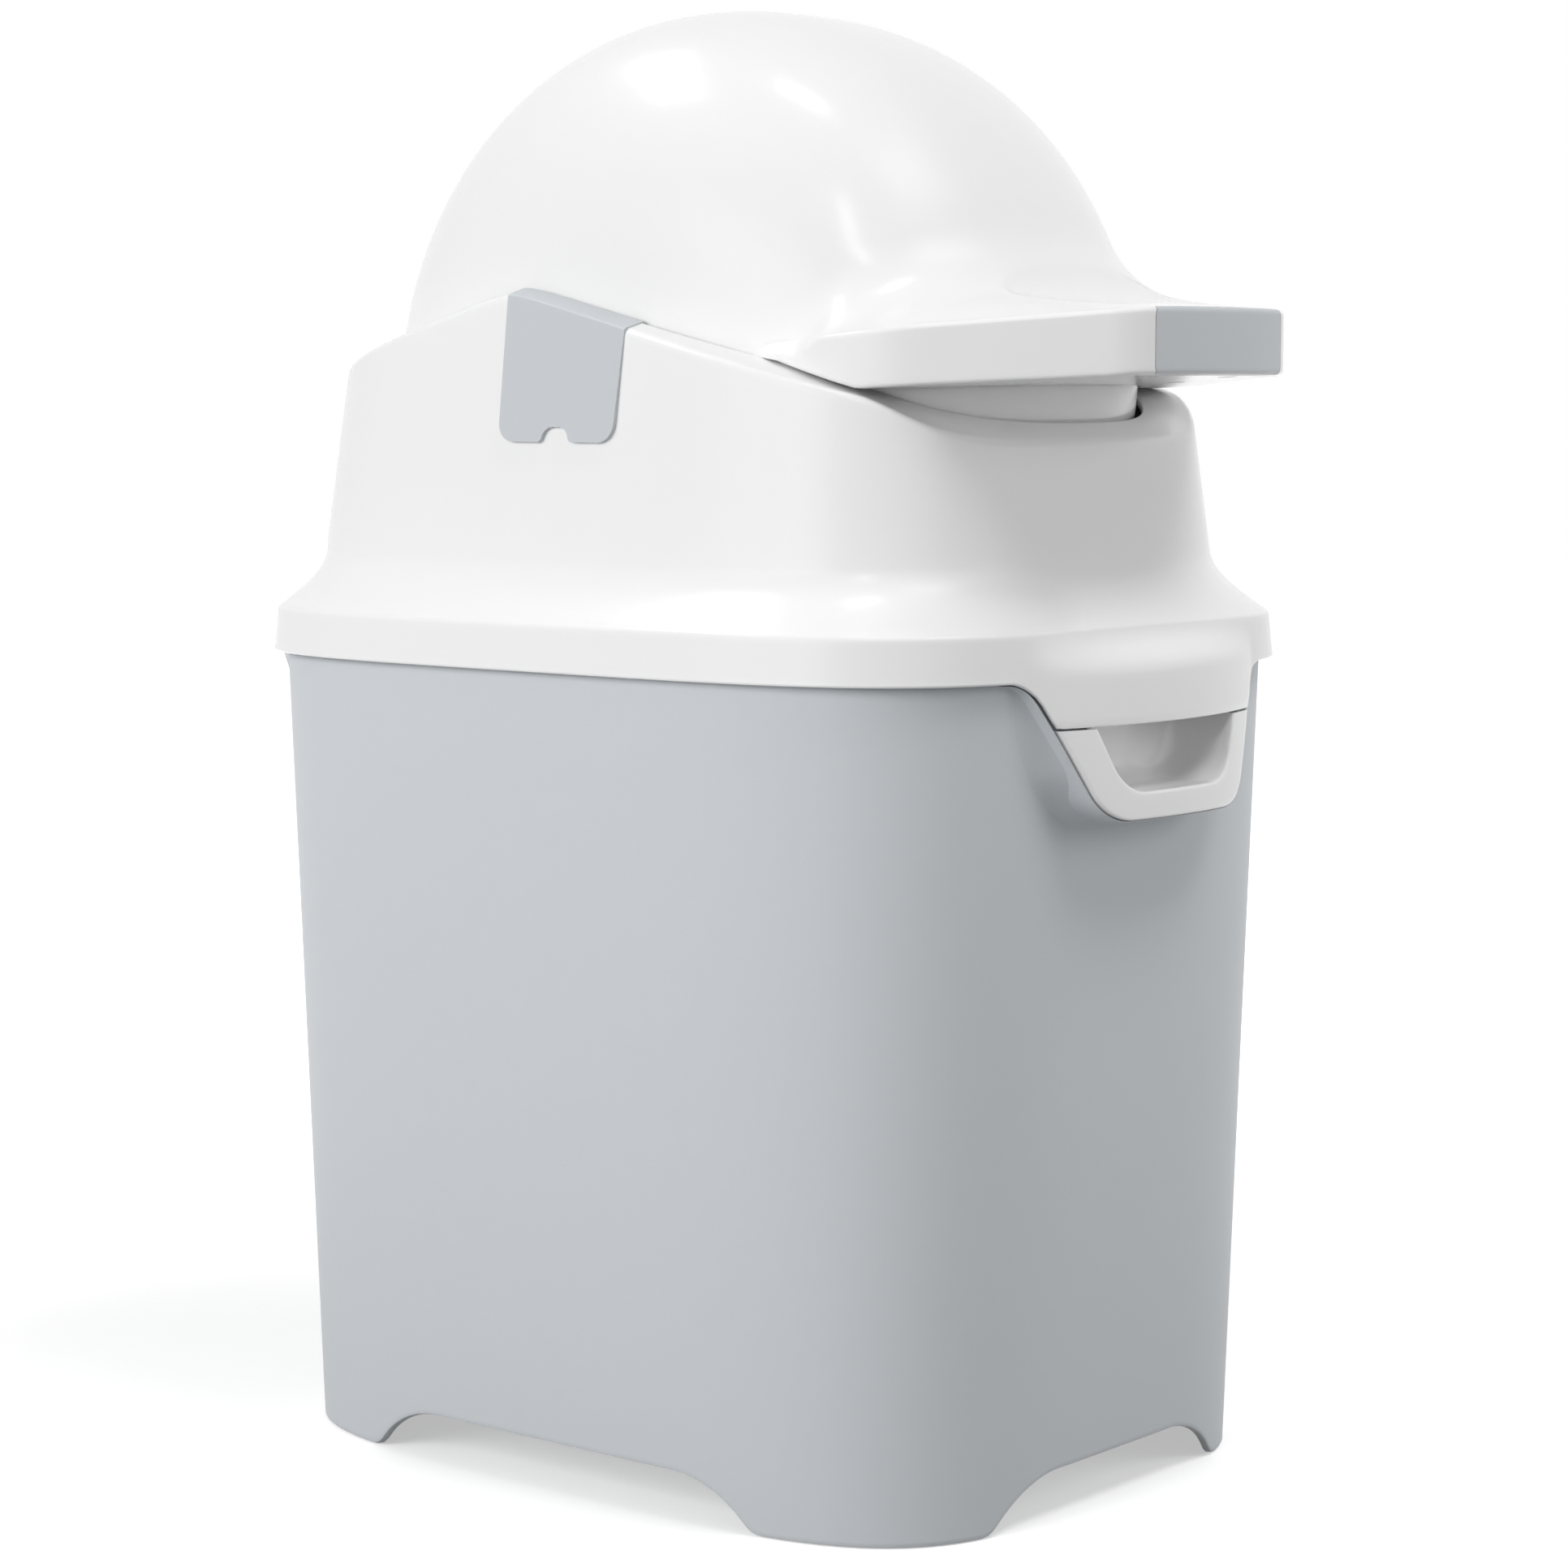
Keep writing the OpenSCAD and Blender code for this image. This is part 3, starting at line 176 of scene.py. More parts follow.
def cut(obj, cutter, operation="DIFFERENCE"):
    """Takes cutter's solid away from obj, or keeps what lies inside it."""
    mod = obj.modifiers.new("cut", "BOOLEAN")
    mod.operation = operation
    mod.solver = "EXACT"
    mod.object = cutter
    apply_modifiers(obj)
    bpy.data.objects.remove(cutter)
    return obj


def recalc(obj, sharp=None):
    """Points the normals outwards; edges bent by more than sharp degrees get a crease in the shading."""
    bm = bmesh.new()
    bm.from_mesh(obj.data)
    bmesh.ops.remove_doubles(bm, verts=bm.verts, dist=1e-7)
    bmesh.ops.recalc_face_normals(bm, faces=bm.faces)
    if sharp is not None:
        limit = math.radians(sharp)
        for e in bm.edges:
            e.smooth = len(e.link_faces) == 2 and e.calc_face_angle(0) < limit
        for f in bm.faces:
            f.smooth = True
    bm.to_mesh(obj.data)
    bm.free()
    return obj


# Repeated shapes


def copies_tree():
    """Geometry nodes that put copies of a shape on a grid of points in plan."""
    tree = bpy.data.node_groups.new("copies on a grid", "GeometryNodeTree")
    for name, kind in (
        ("Shape", "NodeSocketGeometry"),
        ("Columns", "NodeSocketInt"),
        ("Rows", "NodeSocketInt"),
        ("Width", "NodeSocketFloat"),
        ("Length", "NodeSocketFloat"),
        ("Plastic", "NodeSocketMaterial"),
    ):
        tree.interface.new_socket(name=name, in_out="INPUT", socket_type=kind)
    tree.interface.new_socket(name="Copies", in_out="OUTPUT", socket_type="NodeSocketGeometry")
    nodes, links = tree.nodes, tree.links
    given, result = nodes.new("NodeGroupInput"), nodes.new("NodeGroupOutput")
    grid = nodes.new("GeometryNodeMeshGrid")
    links.new(given.outputs["Columns"], grid.inputs["Vertices X"])
    links.new(given.outputs["Rows"], grid.inputs["Vertices Y"])
    links.new(given.outputs["Width"], grid.inputs["Size X"])
    links.new(given.outputs["Length"], grid.inputs["Size Y"])
    placed = nodes.new("GeometryNodeInstanceOnPoints")
    links.new(grid.outputs["Mesh"], placed.inputs["Points"])
    links.new(given.outputs["Shape"], placed.inputs["Instance"])
    real = nodes.new("GeometryNodeRealizeInstances")
    links.new(placed.outputs["Instances"], real.inputs["Geometry"])
    coloured = nodes.new("GeometryNodeSetMaterial")
    links.new(real.outputs["Geometry"], coloured.inputs["Geometry"])
    links.new(given.outputs["Plastic"], coloured.inputs["Material"])
    links.new(coloured.outputs["Geometry"], result.inputs["Copies"])
    return tree


COPIES = copies_tree()


def copies(obj, plastic, columns=1, rows=1, width=0.0, length=0.0):
    """Copies of a shape: columns across a width, rows front to back over a length, about its own place."""
    mod = obj.modifiers.new("copies", "NODES")
    mod.node_group = COPIES
    wanted = {"Columns": columns, "Rows": rows, "Plastic": plastic}
    wanted.update({"Width": width * MM, "Length": length * MM})
    for item in COPIES.interface.items_tree:
        if item.name in wanted:
            mod[item.identifier] = wanted[item.name]
    return apply_modifiers(obj)


# Outlines


def ease(s):
    """From 0 to 1 with soft ends."""
    s = np.clip(s, 0, 1)
    return s * s * (3 - 2 * s)


def plan_r(t, a, b, n):
    """Distance from the middle to a rounded rectangle of half widths a and b, in direction t."""
    return (np.abs(np.cos(t) / a) ** n + np.abs(np.sin(t) / b) ** n) ** (-1 / n)


def arc(centre, radius, start, end, steps):
    """Points of an arc, angles in degrees."""
    t = np.radians(np.linspace(start, end, steps))
    return [(centre[0] + radius * math.cos(a), centre[1] + radius * math.sin(a)) for a in t]


def rounded(corners, steps=10):
    """Closed outline whose corners (x, y, radius) are rounded."""
    out = []
    n = len(corners)
    for i, (x, y, r) in enumerate(corners):
        b = np.array([x, y], float)
        if r <= 0:
            out.append(b)
            continue
        u = np.array(corners[i - 1][:2], float) - b
        v = np.array(corners[(i + 1) % n][:2], float) - b
        u /= np.linalg.norm(u)
        v /= np.linalg.norm(v)
        half = math.acos(float(u @ v)) / 2
        bis = u + v
        bis /= np.linalg.norm(bis)
        c = b + bis * r / math.sin(half)
        p0 = b + u * r / math.tan(half) - c
        p1 = b + v * r / math.tan(half) - c
        a0 = math.atan2(p0[1], p0[0])
        turn = (math.atan2(p1[1], p1[0]) - a0 + 5 * math.pi) % (2 * math.pi) - math.pi
        for k in range(steps + 1):
            a = a0 + turn * k / steps
            out.append(c + r * np.array([math.cos(a), math.sin(a)]))
    return np.array(out)


def resample(line, count, closed=False):
    """A polyline with count points evenly spaced along it."""
    line = np.asarray(line, float)
    if closed:
        line = np.vstack([line, line[:1]])
    step = np.linalg.norm(np.diff(line, axis=0), axis=1)
    s = np.concatenate([[0], np.cumsum(step)])
    want = np.linspace(0, s[-1], count + 1 if closed else count)
    if closed:
        want = want[:-1]
    return np.stack([np.interp(want, s, line[:, k]) for k in range(line.shape[1])], axis=1)


def mirrored(half):
    """Corners of one side followed by their mirror images."""
    return list(half) + [(-x, y, r) for x, y, r in reversed(half)]


def height_over(x, corners):
    """Height of an outline, given as rounded corners, over each distance x from the middle."""
    outline = rounded(corners, 16)
    order = np.argsort(outline[:, 0])
    return np.interp(np.abs(x), outline[order, 0], outline[order, 1])


def blend(start, corner, end, s):
    """Point at s on a curve that leaves start and reaches end, pulled towards the corner."""
    return start * (1 - s) ** 2 + corner * 2 * s * (1 - s) + end * s * s


def directions():
    """Directions from the middle, in plan, in which the tub's and the head's rings have their points."""
    return np.arange(DIRECTIONS) * 2 * math.pi / DIRECTIONS


# Tub


def arch_z(u, span):
    """Height of an arch's edge at distance u from its middle: flat, a round bend, 45 degrees, a round toe."""
    flat, bend, toe = 17.3, 42.0, 8.0
    corners = [(span + 40, 0, 0), (span, 0, toe), (span - flat, flat, bend), (-span + flat, flat, 0)]
    return height_over(u, corners)


def tub_half(z):
    """Half widths of the tub at a height."""
    return [foot + (rim - foot) * z / TUB_H for foot, rim in zip(TUB_FOOT, TUB_RIM)]


def tub_ring(z, inset):
    """A ring of the tub's wall drawn in by an inset; z is one height or one for each direction."""
    t = directions()
    z = np.broadcast_to(np.asarray(z, float), t.shape)
    a, b = tub_half(z)
    r = plan_r(t, a - inset, b - inset, SQUARE)
    return np.stack([r * np.cos(t), r * np.sin(t), z], axis=1)


def tub_shell():
    """The wall: a rounded foot with arches, the taper, a thick rim turned inwards and the inside."""
    base = tub_ring(0, 0)
    low = np.maximum(arch_z(base[:, 1], 90), arch_z(base[:, 0], 68))
    foot = ((0, 1.7), (0, 0.9), (0.25, 0.25), (0.9, 0), (2, 0))
    rim = ((0.3, 0.25), (0, 0.9), (0, 4.6), (0.3, 5.25), (0.9, 5.5))
    thick = ((5.2, 5.5), (6.5, 5), (8, 3.6), (10, 2.7))
    rows = [tub_ring(low + rise, inset) for rise, inset in foot]
    rows += [tub_ring(low + 2 + (TUB_H - 3 - low) * s, 0) for s in np.linspace(0, 1, 26)[1:]]
    rows += [tub_ring(TUB_H - drop, inset) for drop, inset in rim + thick]
    inside = TUB_H - 10
    rows += [tub_ring(inside + (low + 2 - inside) * s, TUB_WALL) for s in np.linspace(0, 1, 12)[1:]]
    rows += [tub_ring(low + 0.4, TUB_WALL - 0.1), tub_ring(low, TUB_WALL - 0.5)]
    return rings_mesh("tub_skin", rows, close_rows=True)


def tub_floor():
    """Raised floor with a soft hollow where it meets the wall, and its underside."""
    hollow = 6.0
    low, high = FLOOR_Z[0], FLOOR_Z[1] + hollow
    rows = [tub_ring(low, TUB_WALL / 2), tub_ring(high, TUB_WALL / 2), tub_ring(high, TUB_WALL - 0.05)]
    for a in np.radians(np.linspace(10, 90, 7)):
        rows.append(tub_ring(high - hollow * math.sin(a), TUB_WALL + hollow - hollow * math.cos(a)))
    return rings_mesh("tub_floor", rows, cap_first=True, cap_last=True)


def tub_ribs():
    """Two ribs each way under the floor."""
    def rib(half, direction):
        half = half - TUB_WALL + 0.6
        low, high = FLOOR_Z[0] - 4.2, FLOOR_Z[0] + 0.2
        return prism("rib", [(-half, low), (half, low), (half, high), (-half, high)], direction, (-1.1, 1.1))

    apart = [0.76 * half for half in TUB_FOOT]
    across = copies(rib(TUB_FOOT[0], along_y), TUB_GREY, rows=2, length=apart[1])
    return [across, copies(rib(TUB_FOOT[1], along_x), TUB_GREY, columns=2, width=apart[0])]


def face_y(x, z, depth=0.0):
    """Front face of the boss: a cone about an upright axis, drawn in by a depth."""
    lean = 0.09
    r = FACE_R + lean * (FRAME_TOP - z) - depth
    return FACE_R - FACE_REACH - np.sqrt(r * r - x * x)


def wall_y(x, z):
    """Front of the tub's wall."""
    a, b = tub_half(np.clip(z, 0, TUB_H))
    return -b * (1 - np.minimum(np.abs(x) / a, 0.999) ** SQUARE) ** (1 / SQUARE)


def outward(outline):
    """Directions away from a closed outline's middle, square to its edge."""
    step = np.roll(outline, -1, 0) - np.roll(outline, 1, 0)
    normal = np.stack([step[:, 1], -step[:, 0]], axis=1)
    normal /= np.linalg.norm(normal, axis=1, keepdims=True)
    return normal if (normal * (outline - outline.mean(0))).sum() > 0 else -normal


def boss():
    """Grey boss round the white frame: a rounded edge, a steep flank, a hollow fillet into the wall."""
    side = [(76, BOSS_TOP, 0), (67, BOSS_TOP, 13), (FRAME_HALF, FRAME_TOP, 5)]
    side.append((39.8, FRAME_LOW, FRAME_CORNER))
    outer = resample(rounded(mirrored(side), 18), 260, closed=True)
    normal = outward(outer)
    normal[:, 1] = np.where(normal[:, 1] > 0, 0, normal[:, 1] * 0.55)
    normal *= ease((290.5 - outer[:, 1:]) / 6)
    low = ease((262 - outer[:, 1]) / 20)
    flank = 4.4 + 9 * low
    spread = 15 - 7 * low

    def row(grow, place):
        p = outer + normal * np.broadcast_to(grow, len(outer))[:, None]
        z = np.minimum(p[:, 1], BOSS_TOP)
        return np.stack([p[:, 0], place(p[:, 0], z), z], axis=1)

    def on_face(depth):
        return lambda x, z: face_y(x, z, depth)

    def on_flank(depth):
        return lambda x, z: np.minimum(face_y(x, z, depth), wall_y(x, z) - 0.2)

    def on_fillet(k):
        foot = on_flank(flank)
        return lambda x, z: wall_y(x, z) + 0.5 + (foot(x, z) - wall_y(x, z) - 0.5) * (1 - k) ** 2

    edge = ((-1.2, 3.4), (0.22, 3.4), (0.26, 1.7), (0.45, 1.25), (0.75, 1.05), (1.05, 1.25), (1.25, 1.8))
    rows = [row(grow, on_face(depth)) for grow, depth in edge]
    rows += [row(1.3 + 0.35 * k, on_flank(1.8 + (flank - 1.8) * k)) for k in (0.5, 0.94, 1)]
    rows += [row(1.65 + spread * k, on_fillet(k)) for k in (0.04, 0.12, 0.24, 0.38, 0.54, 0.72, 0.9, 1)]
    rows.append(row(1.65 + spread, lambda x, z: wall_y(x, z) + 1.6))
    return rings_mesh("boss", rows, cap_first=True, cap_last=True)


def pocket_line(grow):
    """Outline of the finger pocket from the front, grown all round."""
    side = [(45.5 + grow, POCKET_TOP + grow, 3), (POCKET_HALF + grow, POCKET_LOW - grow, 16 + grow)]
    return rounded(mirrored(side), 14)


def pocket_cutter(front, back):
    """A block that clears the way for the finger pocket."""
    return prism("cutter", pocket_line(2.2), along_y, (front, back))


def grip_frame():
    """White U-shaped face on the boss."""
    def u_line(half_top, half_low, low, radius):
        side = [(half_top, FRAME_TOP, 0), (half_low, low, radius)]
        return resample(rounded(mirrored(side), 20), 240)

    outer = u_line(FRAME_HALF - 0.9, 39.2, FRAME_LOW, FRAME_CORNER)
    inner = u_line(FRAME_HALF - 16.7, POCKET_HALF, POCKET_LOW, 17)
    outer_edge = ((0, 3), (0, 0.7), (0.02, 0.25), (0.06, 0.03), (0.12, 0))
    flat = ((0.35, 0), (0.6, 0), (0.86, 0))
    inner_edge = ((0.93, 0.05), (0.975, 0.3), (1, 0.9), (1, 3.2), (0, 3))
    rows = []
    for s, depth in outer_edge + flat + inner_edge:
        p = outer + (inner - outer) * s
        rows.append(np.stack([p[:, 0], face_y(p[:, 0], p[:, 1], depth), p[:, 1]], axis=1))
    n, m = len(outer), len(rows) - 1
    faces = grid_faces(len(rows), n, close_cols=False)
    faces.append(tuple(i * n for i in range(m)))
    faces.append(tuple(i * n + n - 1 for i in reversed(range(m))))
    return make_mesh("grip_face", np.vstack(rows), faces)


def pocket_cup():
    """Finger pocket behind the frame, with large soft corners at its back."""
    count, corner = 200, 10.0
    centre = np.array([0.0, 266.0])
    inner = resample(pocket_line(0.0), count, closed=True)
    outer = resample(pocket_line(2.0), count, closed=True)

    def at_face(line):
        return np.stack([line[:, 0], face_y(line[:, 0], line[:, 1], 2.9), line[:, 1]], axis=1)

    front = at_face(inner)
    rows = [at_face(outer), front]
    for s in (0.25, 0.5, 0.75, 1.0):
        ring = front.copy()
        ring[:, 1] = front[:, 1] + (POCKET_BACK - corner - front[:, 1]) * s
        ring[:, 0] *= 1 - 0.03 * s
        rows.append(ring)
    last = rows[-1]
    away = np.stack([last[:, 0], last[:, 2] - centre[1]], axis=1)
    size = np.linalg.norm(away, axis=1, keepdims=True)
    for a in np.radians(np.linspace(12, 90, 8)):
        near = away * (1 - (1 - math.cos(a)) * corner / size)
        y = POCKET_BACK - corner + corner * math.sin(a)
        rows.append(np.stack([near[:, 0], np.full(count, y), centre[1] + near[:, 1]], axis=1))
    wall = at_face(outer)
    wall[:, 1] = POCKET_BACK + 1
    wall[:, 0] *= 0.97
    tail = centre + (outer - centre) * 0.86
    end = np.stack([tail[:, 0], np.full(count, POCKET_BACK + 2), tail[:, 1]], axis=1)
    inside = rings_mesh("pocket_in", rows, cap_last=True)
    return [inside, rings_mesh("pocket_out", [at_face(outer), wall, end], cap_last=True)]


def hinge_ears():
    """Ears behind the tub that hold the hinge pins, two to a hinge."""
    x, y, z = HINGE
    outline = [(162, 249), (163.9, 249), (181.2, 287.4)]
    outline += arc((y, z), HINGE_R, -40, 180, 18)
    outline += [(171.5, 287.4), (162, 287.4)]
    pair = copies(prism("ear", outline, along_x, (-2.5, 2.5)), TUB_GREY, columns=2, width=17.6)
    return copies(pair, TUB_GREY, columns=2, width=2 * x)


# Head


def head_inset(z):
    """How far the head's leaning wall lies inside the skirt's outline."""
    return HEAD_STEP + HEAD_LEAN * (z - WALL_Z)


def shoulder(y):
    """Line of the head's top from the side: highest behind the axle, falling to both ends."""
    peak_y, peak_z, soft = 30, 419.2, 6.0
    forwards, backwards = 0.245, 0.27
    d = np.asarray(y, float) - peak_y
    fall = np.where(d < 0, forwards, backwards)
    return peak_z - fall * (np.sqrt(d * d + soft * soft) - soft)


def end_blend(y, start, run):
    """From 0 in the middle to 1 at both ends of the head."""
    return ease((np.abs(y - AXLE_Y) - start) / run)


def rim_z(y):
    """Height of the crease at y."""
    return shoulder(y) - 8.7 * end_blend(y, 119, 29)


def lip_z(y):
    """Height of the lip at y."""
    return shoulder(y) + 2.5 - 6 * end_blend(y, 88, 52)


def head_ring(z, inset, shift=1.0):
    """A level ring of the head; shift is 0 round the tub's middle and 1 round the axle's."""
    t = directions()
    z = np.broadcast_to(np.asarray(z, float), t.shape)
    r = plan_r(t, SKIRT[0] - inset, SKIRT[1] - inset, SQUARE)
    return np.stack([r * np.cos(t), AXLE_Y * shift + r * np.sin(t), z], axis=1)


def wall_ring(z, thickness=0.0):
    """A ring of the head's leaning wall, or of its inside, at a height for each direction."""
    return head_ring(z, head_inset(z) + thickness)


def apron_z(x):
    """Height of the skirt's lower edge at x in front: level, a soft bend, a slope, a corner, level."""
    low = FRAME_TOP + 0.6
    corners = [(140, SKIRT_Z, 0), (66.5, SKIRT_Z, 16), (FRAME_HALF, low, 2.5), (-FRAME_HALF, low, 0)]
    return height_over(x, corners)


def skirt_ring(z, inset):
    """Outer face of the skirt: the plain outline bulges forward to the boss's face below the band's top."""
    t = directions()
    z = np.broadcast_to(np.asarray(z, float), t.shape)
    x, y = head_ring(z, inset, 0)[:, :2].T
    face = face_y(np.clip(x, -120, 120), np.minimum(z, 300))
    in_front = (np.sin(t) < 0) & (np.abs(x) < 100)
    front = np.where(in_front, np.minimum(y, y + (face - y) * ease((306 - z) / 13)), y)
    return np.stack([x, y + (front - y) * ease((96 - np.abs(x)) / 22), z], axis=1)


def drawn_in(ring, depth):
    """A ring moved inwards by a depth, in plan."""
    d = np.roll(ring, -1, 0) - np.roll(ring, 1, 0)
    n = np.stack([-d[:, 1], d[:, 0]], axis=1)
    n /= np.linalg.norm(n, axis=1, keepdims=True)
    out = ring.copy()
    out[:, :2] += n * depth
    return out


def rim_line():
    """Crease where the head's wall turns into its sloping rim."""
    ring = head_ring(0, 26)
    for _ in range(4):
        ring = wall_ring(rim_z(ring[:, 1]))
    return ring


def lip_line():
    """Inner edge of the rim, close to the drum."""
    t = directions()
    r = plan_r(t, LIP[0], LIP[1], ROUND)
    y = AXLE_Y + r * np.sin(t)
    return np.stack([r * np.cos(t), y, lip_z(y)], axis=1)


def skirt_low():
    """Lower edge of the skirt, with the apron in front."""
    return np.where(np.sin(directions()) < 0, apron_z(skirt_ring(SKIRT_Z, 0)[:, 0]), SKIRT_Z)


def cove_ring(s, inset=0.0, drop=0.0):
    """The hollow curve from the band, s = 0, to the wall's foot, s = 1."""
    return head_ring(COVE_Z + 21.6 * s - drop, 2.4 + 15.8 * math.sin(math.pi / 2 * s) + inset, s)


def head_outside():
    """Rings from the skirt's lower edge over the band, cove and wall to the lip."""
    low = skirt_low()
    rows = [drawn_in(skirt_ring(low, 0), 1.6), drawn_in(skirt_ring(low, 0), 0.8)]
    rows += [drawn_in(skirt_ring(low + 0.2, 0), 0.25), skirt_ring(low + 0.75, 0)]
    for s in np.linspace(0, 1, 14)[1:]:
        z = low + 0.75 + (305.6 - low - 0.75) * s
        rows.append(skirt_ring(z, 1.4 * np.clip((z - SKIRT_Z) / 16, 0, 1)))
    band_edge = ((306.2, 1.5), (306.7, 1.75), (307.1, 2.15), (307.5, 2.7))
    rows += [head_ring(z, inset, 0) for z, inset in band_edge]
    rows += [cove_ring(s) for s in (*np.linspace(0.03, 0.3, 6), *np.linspace(0.36, 1, 11))]
    crease, lip = rim_line(), lip_line()
    edge = 2.4
    foot = rows[-1][:, 2]
    rows += [wall_ring(foot + (crease[:, 2] - edge - foot) * s) for s in np.linspace(0, 1, 10)[1:]]
    across = (lip - crease) / np.linalg.norm(lip - crease, axis=1, keepdims=True)
    start, end = rows[-1], crease + across * edge
    rows += [blend(start, crease, end, s) for s in np.linspace(0, 1, 9)[1:]]
    near = lip - across * 1.2
    rows += [end + (near - end) * s for s in np.linspace(0, 1, 6)[1:]]
    down = lip - (0, 0, 1.2)
    rows += [blend(near, lip, down, s) for s in np.linspace(0, 1, 6)[1:]]
    return rows


def head_inside():
    """Rings from the lip back down to the skirt's lower edge."""
    low, crease, lip = skirt_low(), rim_line(), lip_line()
    across = (lip - crease) / np.linalg.norm(lip - crease, axis=1, keepdims=True)
    corner = crease + across * 2.6
    rows = [lip - (0, 0, 3), np.stack([corner[:, 0], corner[:, 1], crease[:, 2] - 3.6], axis=1)]
    top = crease[:, 2] - 6
    rows += [wall_ring(top + (WALL_Z - top) * s, HEAD_WALL) for s in (0.33, 0.66, 1)]
    rows += [cove_ring(s, 2.3, 1.5) for s in (0.8, 0.6, 0.4, 0.22)]
    rows += [head_ring(304.6, 8.9, 0), head_ring(304.6, 4.2, 0)]
    rows.append(drawn_in(skirt_ring(303.5, 1.3), HEAD_WALL))
    rows.append(drawn_in(skirt_ring(np.maximum(low + 6, 292), 0.1), HEAD_WALL))
    rows.append(drawn_in(skirt_ring(low + 0.8, 0), HEAD_WALL))
    rows.append(drawn_in(skirt_ring(low + 0.1, 0), HEAD_WALL - 0.4))
    return rows


def knuckles():
    """The head's half of the two hinges."""
    x, y, z = HINGE
    outline = [(168.5, z), (171.5, z)]
    outline += arc((y, z), HINGE_R, 180, 450, 24)
    outline += [(171.3, 300), (168.5, 300)]
    return copies(prism("knuckle", outline, along_x, (-6, 6)), WHITE, columns=2, width=2 * x)


def screw_posts():
    """Posts for the collar's screws, upright, and for the cradles' screws, across."""
    upright = prism("post", arc((0, AXLE_Y), 5, 0, 345, 24), along_z, (354.4, 371))
    across = prism("post", arc((AXLE_Y, 372.5), 4.2, 0, 345, 24), along_x, (-3.9, 3.9))
    return [
        copies(upright, WHITE, columns=2, rows=2, width=178, length=238),
        copies(across, WHITE, columns=2, rows=2, width=209.2, length=65.4),
    ]


# Clips


def clip_side(gap=0.0):
    """One side of the clip's outline, grown by a gap: a flared edge down to a round corner."""
    half, low, rise = CLIP_HALF + gap, CLIP_LOW - gap, 200
    return [(half + rise * CLIP_FLARE, low + rise, 0), (half, low, 7)]


def clip_prism(name, side, outline, reach):
    """A prism through the head's side wall with the clip's outline."""
    outline = [(AXLE_Y + u, v) for u, v in rounded(mirrored(outline), 14)]
    return prism(name, outline, along_x, reach if side > 0 else (-reach[1], -reach[0]))


def bay_cutter(side):
    """The window in the head's wall that the clip fills."""
    return clip_prism("bay", side, clip_side(0.35), (92.8, 160))


def clip_lean(z):
    """How far the clip stands out from the head's wall: more at its foot than at its top."""
    foot, top, height = 1.8, 0.25, 48.5
    return foot - (foot - top) * (z - CLIP_LOW) / height


def clip_x(z):
    """Outer face of the clip."""
    return SKIRT[0] - head_inset(z) + clip_lean(z)


def clip_loop(y):
    """The clip's section at y: up the wall, over the shoulder, inwards along the rim and back underneath."""
    proud = 0.4
    top = float(rim_z(y)) + proud
    corner = np.array([clip_x(top), top])
    tip = np.array([LIP[0] - 0.3, float(lip_z(y)) + proud])
    across = (tip - corner) / np.linalg.norm(tip - corner)
    down = np.array([-across[1], across[0]])
    wall = [(clip_x(z), z) for z in np.linspace(362, top - 4, 6)]
    start = corner + (np.array(wall[-1]) - corner) * CLIP_EDGE / 4
    end = corner + across * CLIP_EDGE
    bend = [blend(start, corner, end, s) for s in np.linspace(0, 1, 7)]
    under = [tip + down * CLIP_WALL, corner + (across + down) * CLIP_WALL]
    back = np.array(wall[::-1]) - (CLIP_WALL, 0)
    return np.vstack([wall, bend, (end + tip) / 2, tip, under, back])


def clip_mesh(side):
    """A bent bar cut to the clip's outline with its finger notch, and the saddle over the journal."""
    rings = []
    for y in np.arange(-32, 38, 2.0):
        x, z = clip_loop(y).T
        rings.append(np.stack([side * x, np.full(len(x), y), z], axis=1))
    plate = recalc(rings_mesh("clip_plate", rings, cap_first=True, cap_last=True))
    notch = [(6.7, CLIP_LOW, 2.1), (5.0, CLIP_LOW + 5.2, 4.7)]
    cut(plate, recalc(clip_prism("outline", side, clip_side() + notch, (92, 130))), "INTERSECT")
    saddle = [(AXLE_Y - 8.7, AXLE_Z), (AXLE_Y - 8.7, 410), (AXLE_Y + 8.7, 412), (AXLE_Y + 8.7, 402)]
    saddle += arc((AXLE_Y, AXLE_Z), 9.35, 25, 155, 16)
    block = prism("saddle", saddle, along_x, (98.1, 104.4) if side > 0 else (-104.4, -98.1))
    return recalc(join("clip", [plate, block]), 40)


# Drum


def handle_x(y):
    """Half width of the handle at y."""
    y = np.asarray(y, float)
    start, radius, slope = 102, 60, 0.656
    angle = math.atan(slope)
    bend = radius * math.sin(angle)
    d = -y - start
    back = HANDLE_HALF - d * d / 290
    bent = HANDLE_HALF - radius + np.sqrt(np.maximum(radius**2 - np.clip(d, 0, bend) ** 2, 0))
    taper = HANDLE_HALF - radius * (1 - math.cos(angle)) - slope * (d - bend)
    return np.where(d <= 0, back, np.where(d < bend, bent, taper))


def tip_y(x):
    """Front of the handle, a wide bow."""
    bow = 265.0
    return bow - HANDLE_TIP - np.sqrt(bow**2 - x * x)


def under_z(y):
    """Underside of the handle: it rises steeply to the drum and a little to the tip."""
    to_drum, to_tip = 0.27, 0.057
    d = np.asarray(y, float) - HANDLE_BEND_Y
    return HANDLE_LOW + np.where(d > 0, to_drum * d, -to_tip * d)


def side_z(y):
    """Top edge of the handle's sides, rising to the tip."""
    thickness, rise = 18.3, 0.105
    return HANDLE_LOW + thickness + rise * (HANDLE_BEND_Y - np.asarray(y, float))


def crown_z(y):
    """Top of the handle along its middle, rising towards the dome."""
    length, rise = 71, 11
    s = np.clip((np.asarray(y, float) + HANDLE_TIP) / length, 0, 1)
    return np.maximum(side_z(y) + 0.3, side_z(-HANDLE_TIP) + rise * s**1.4)


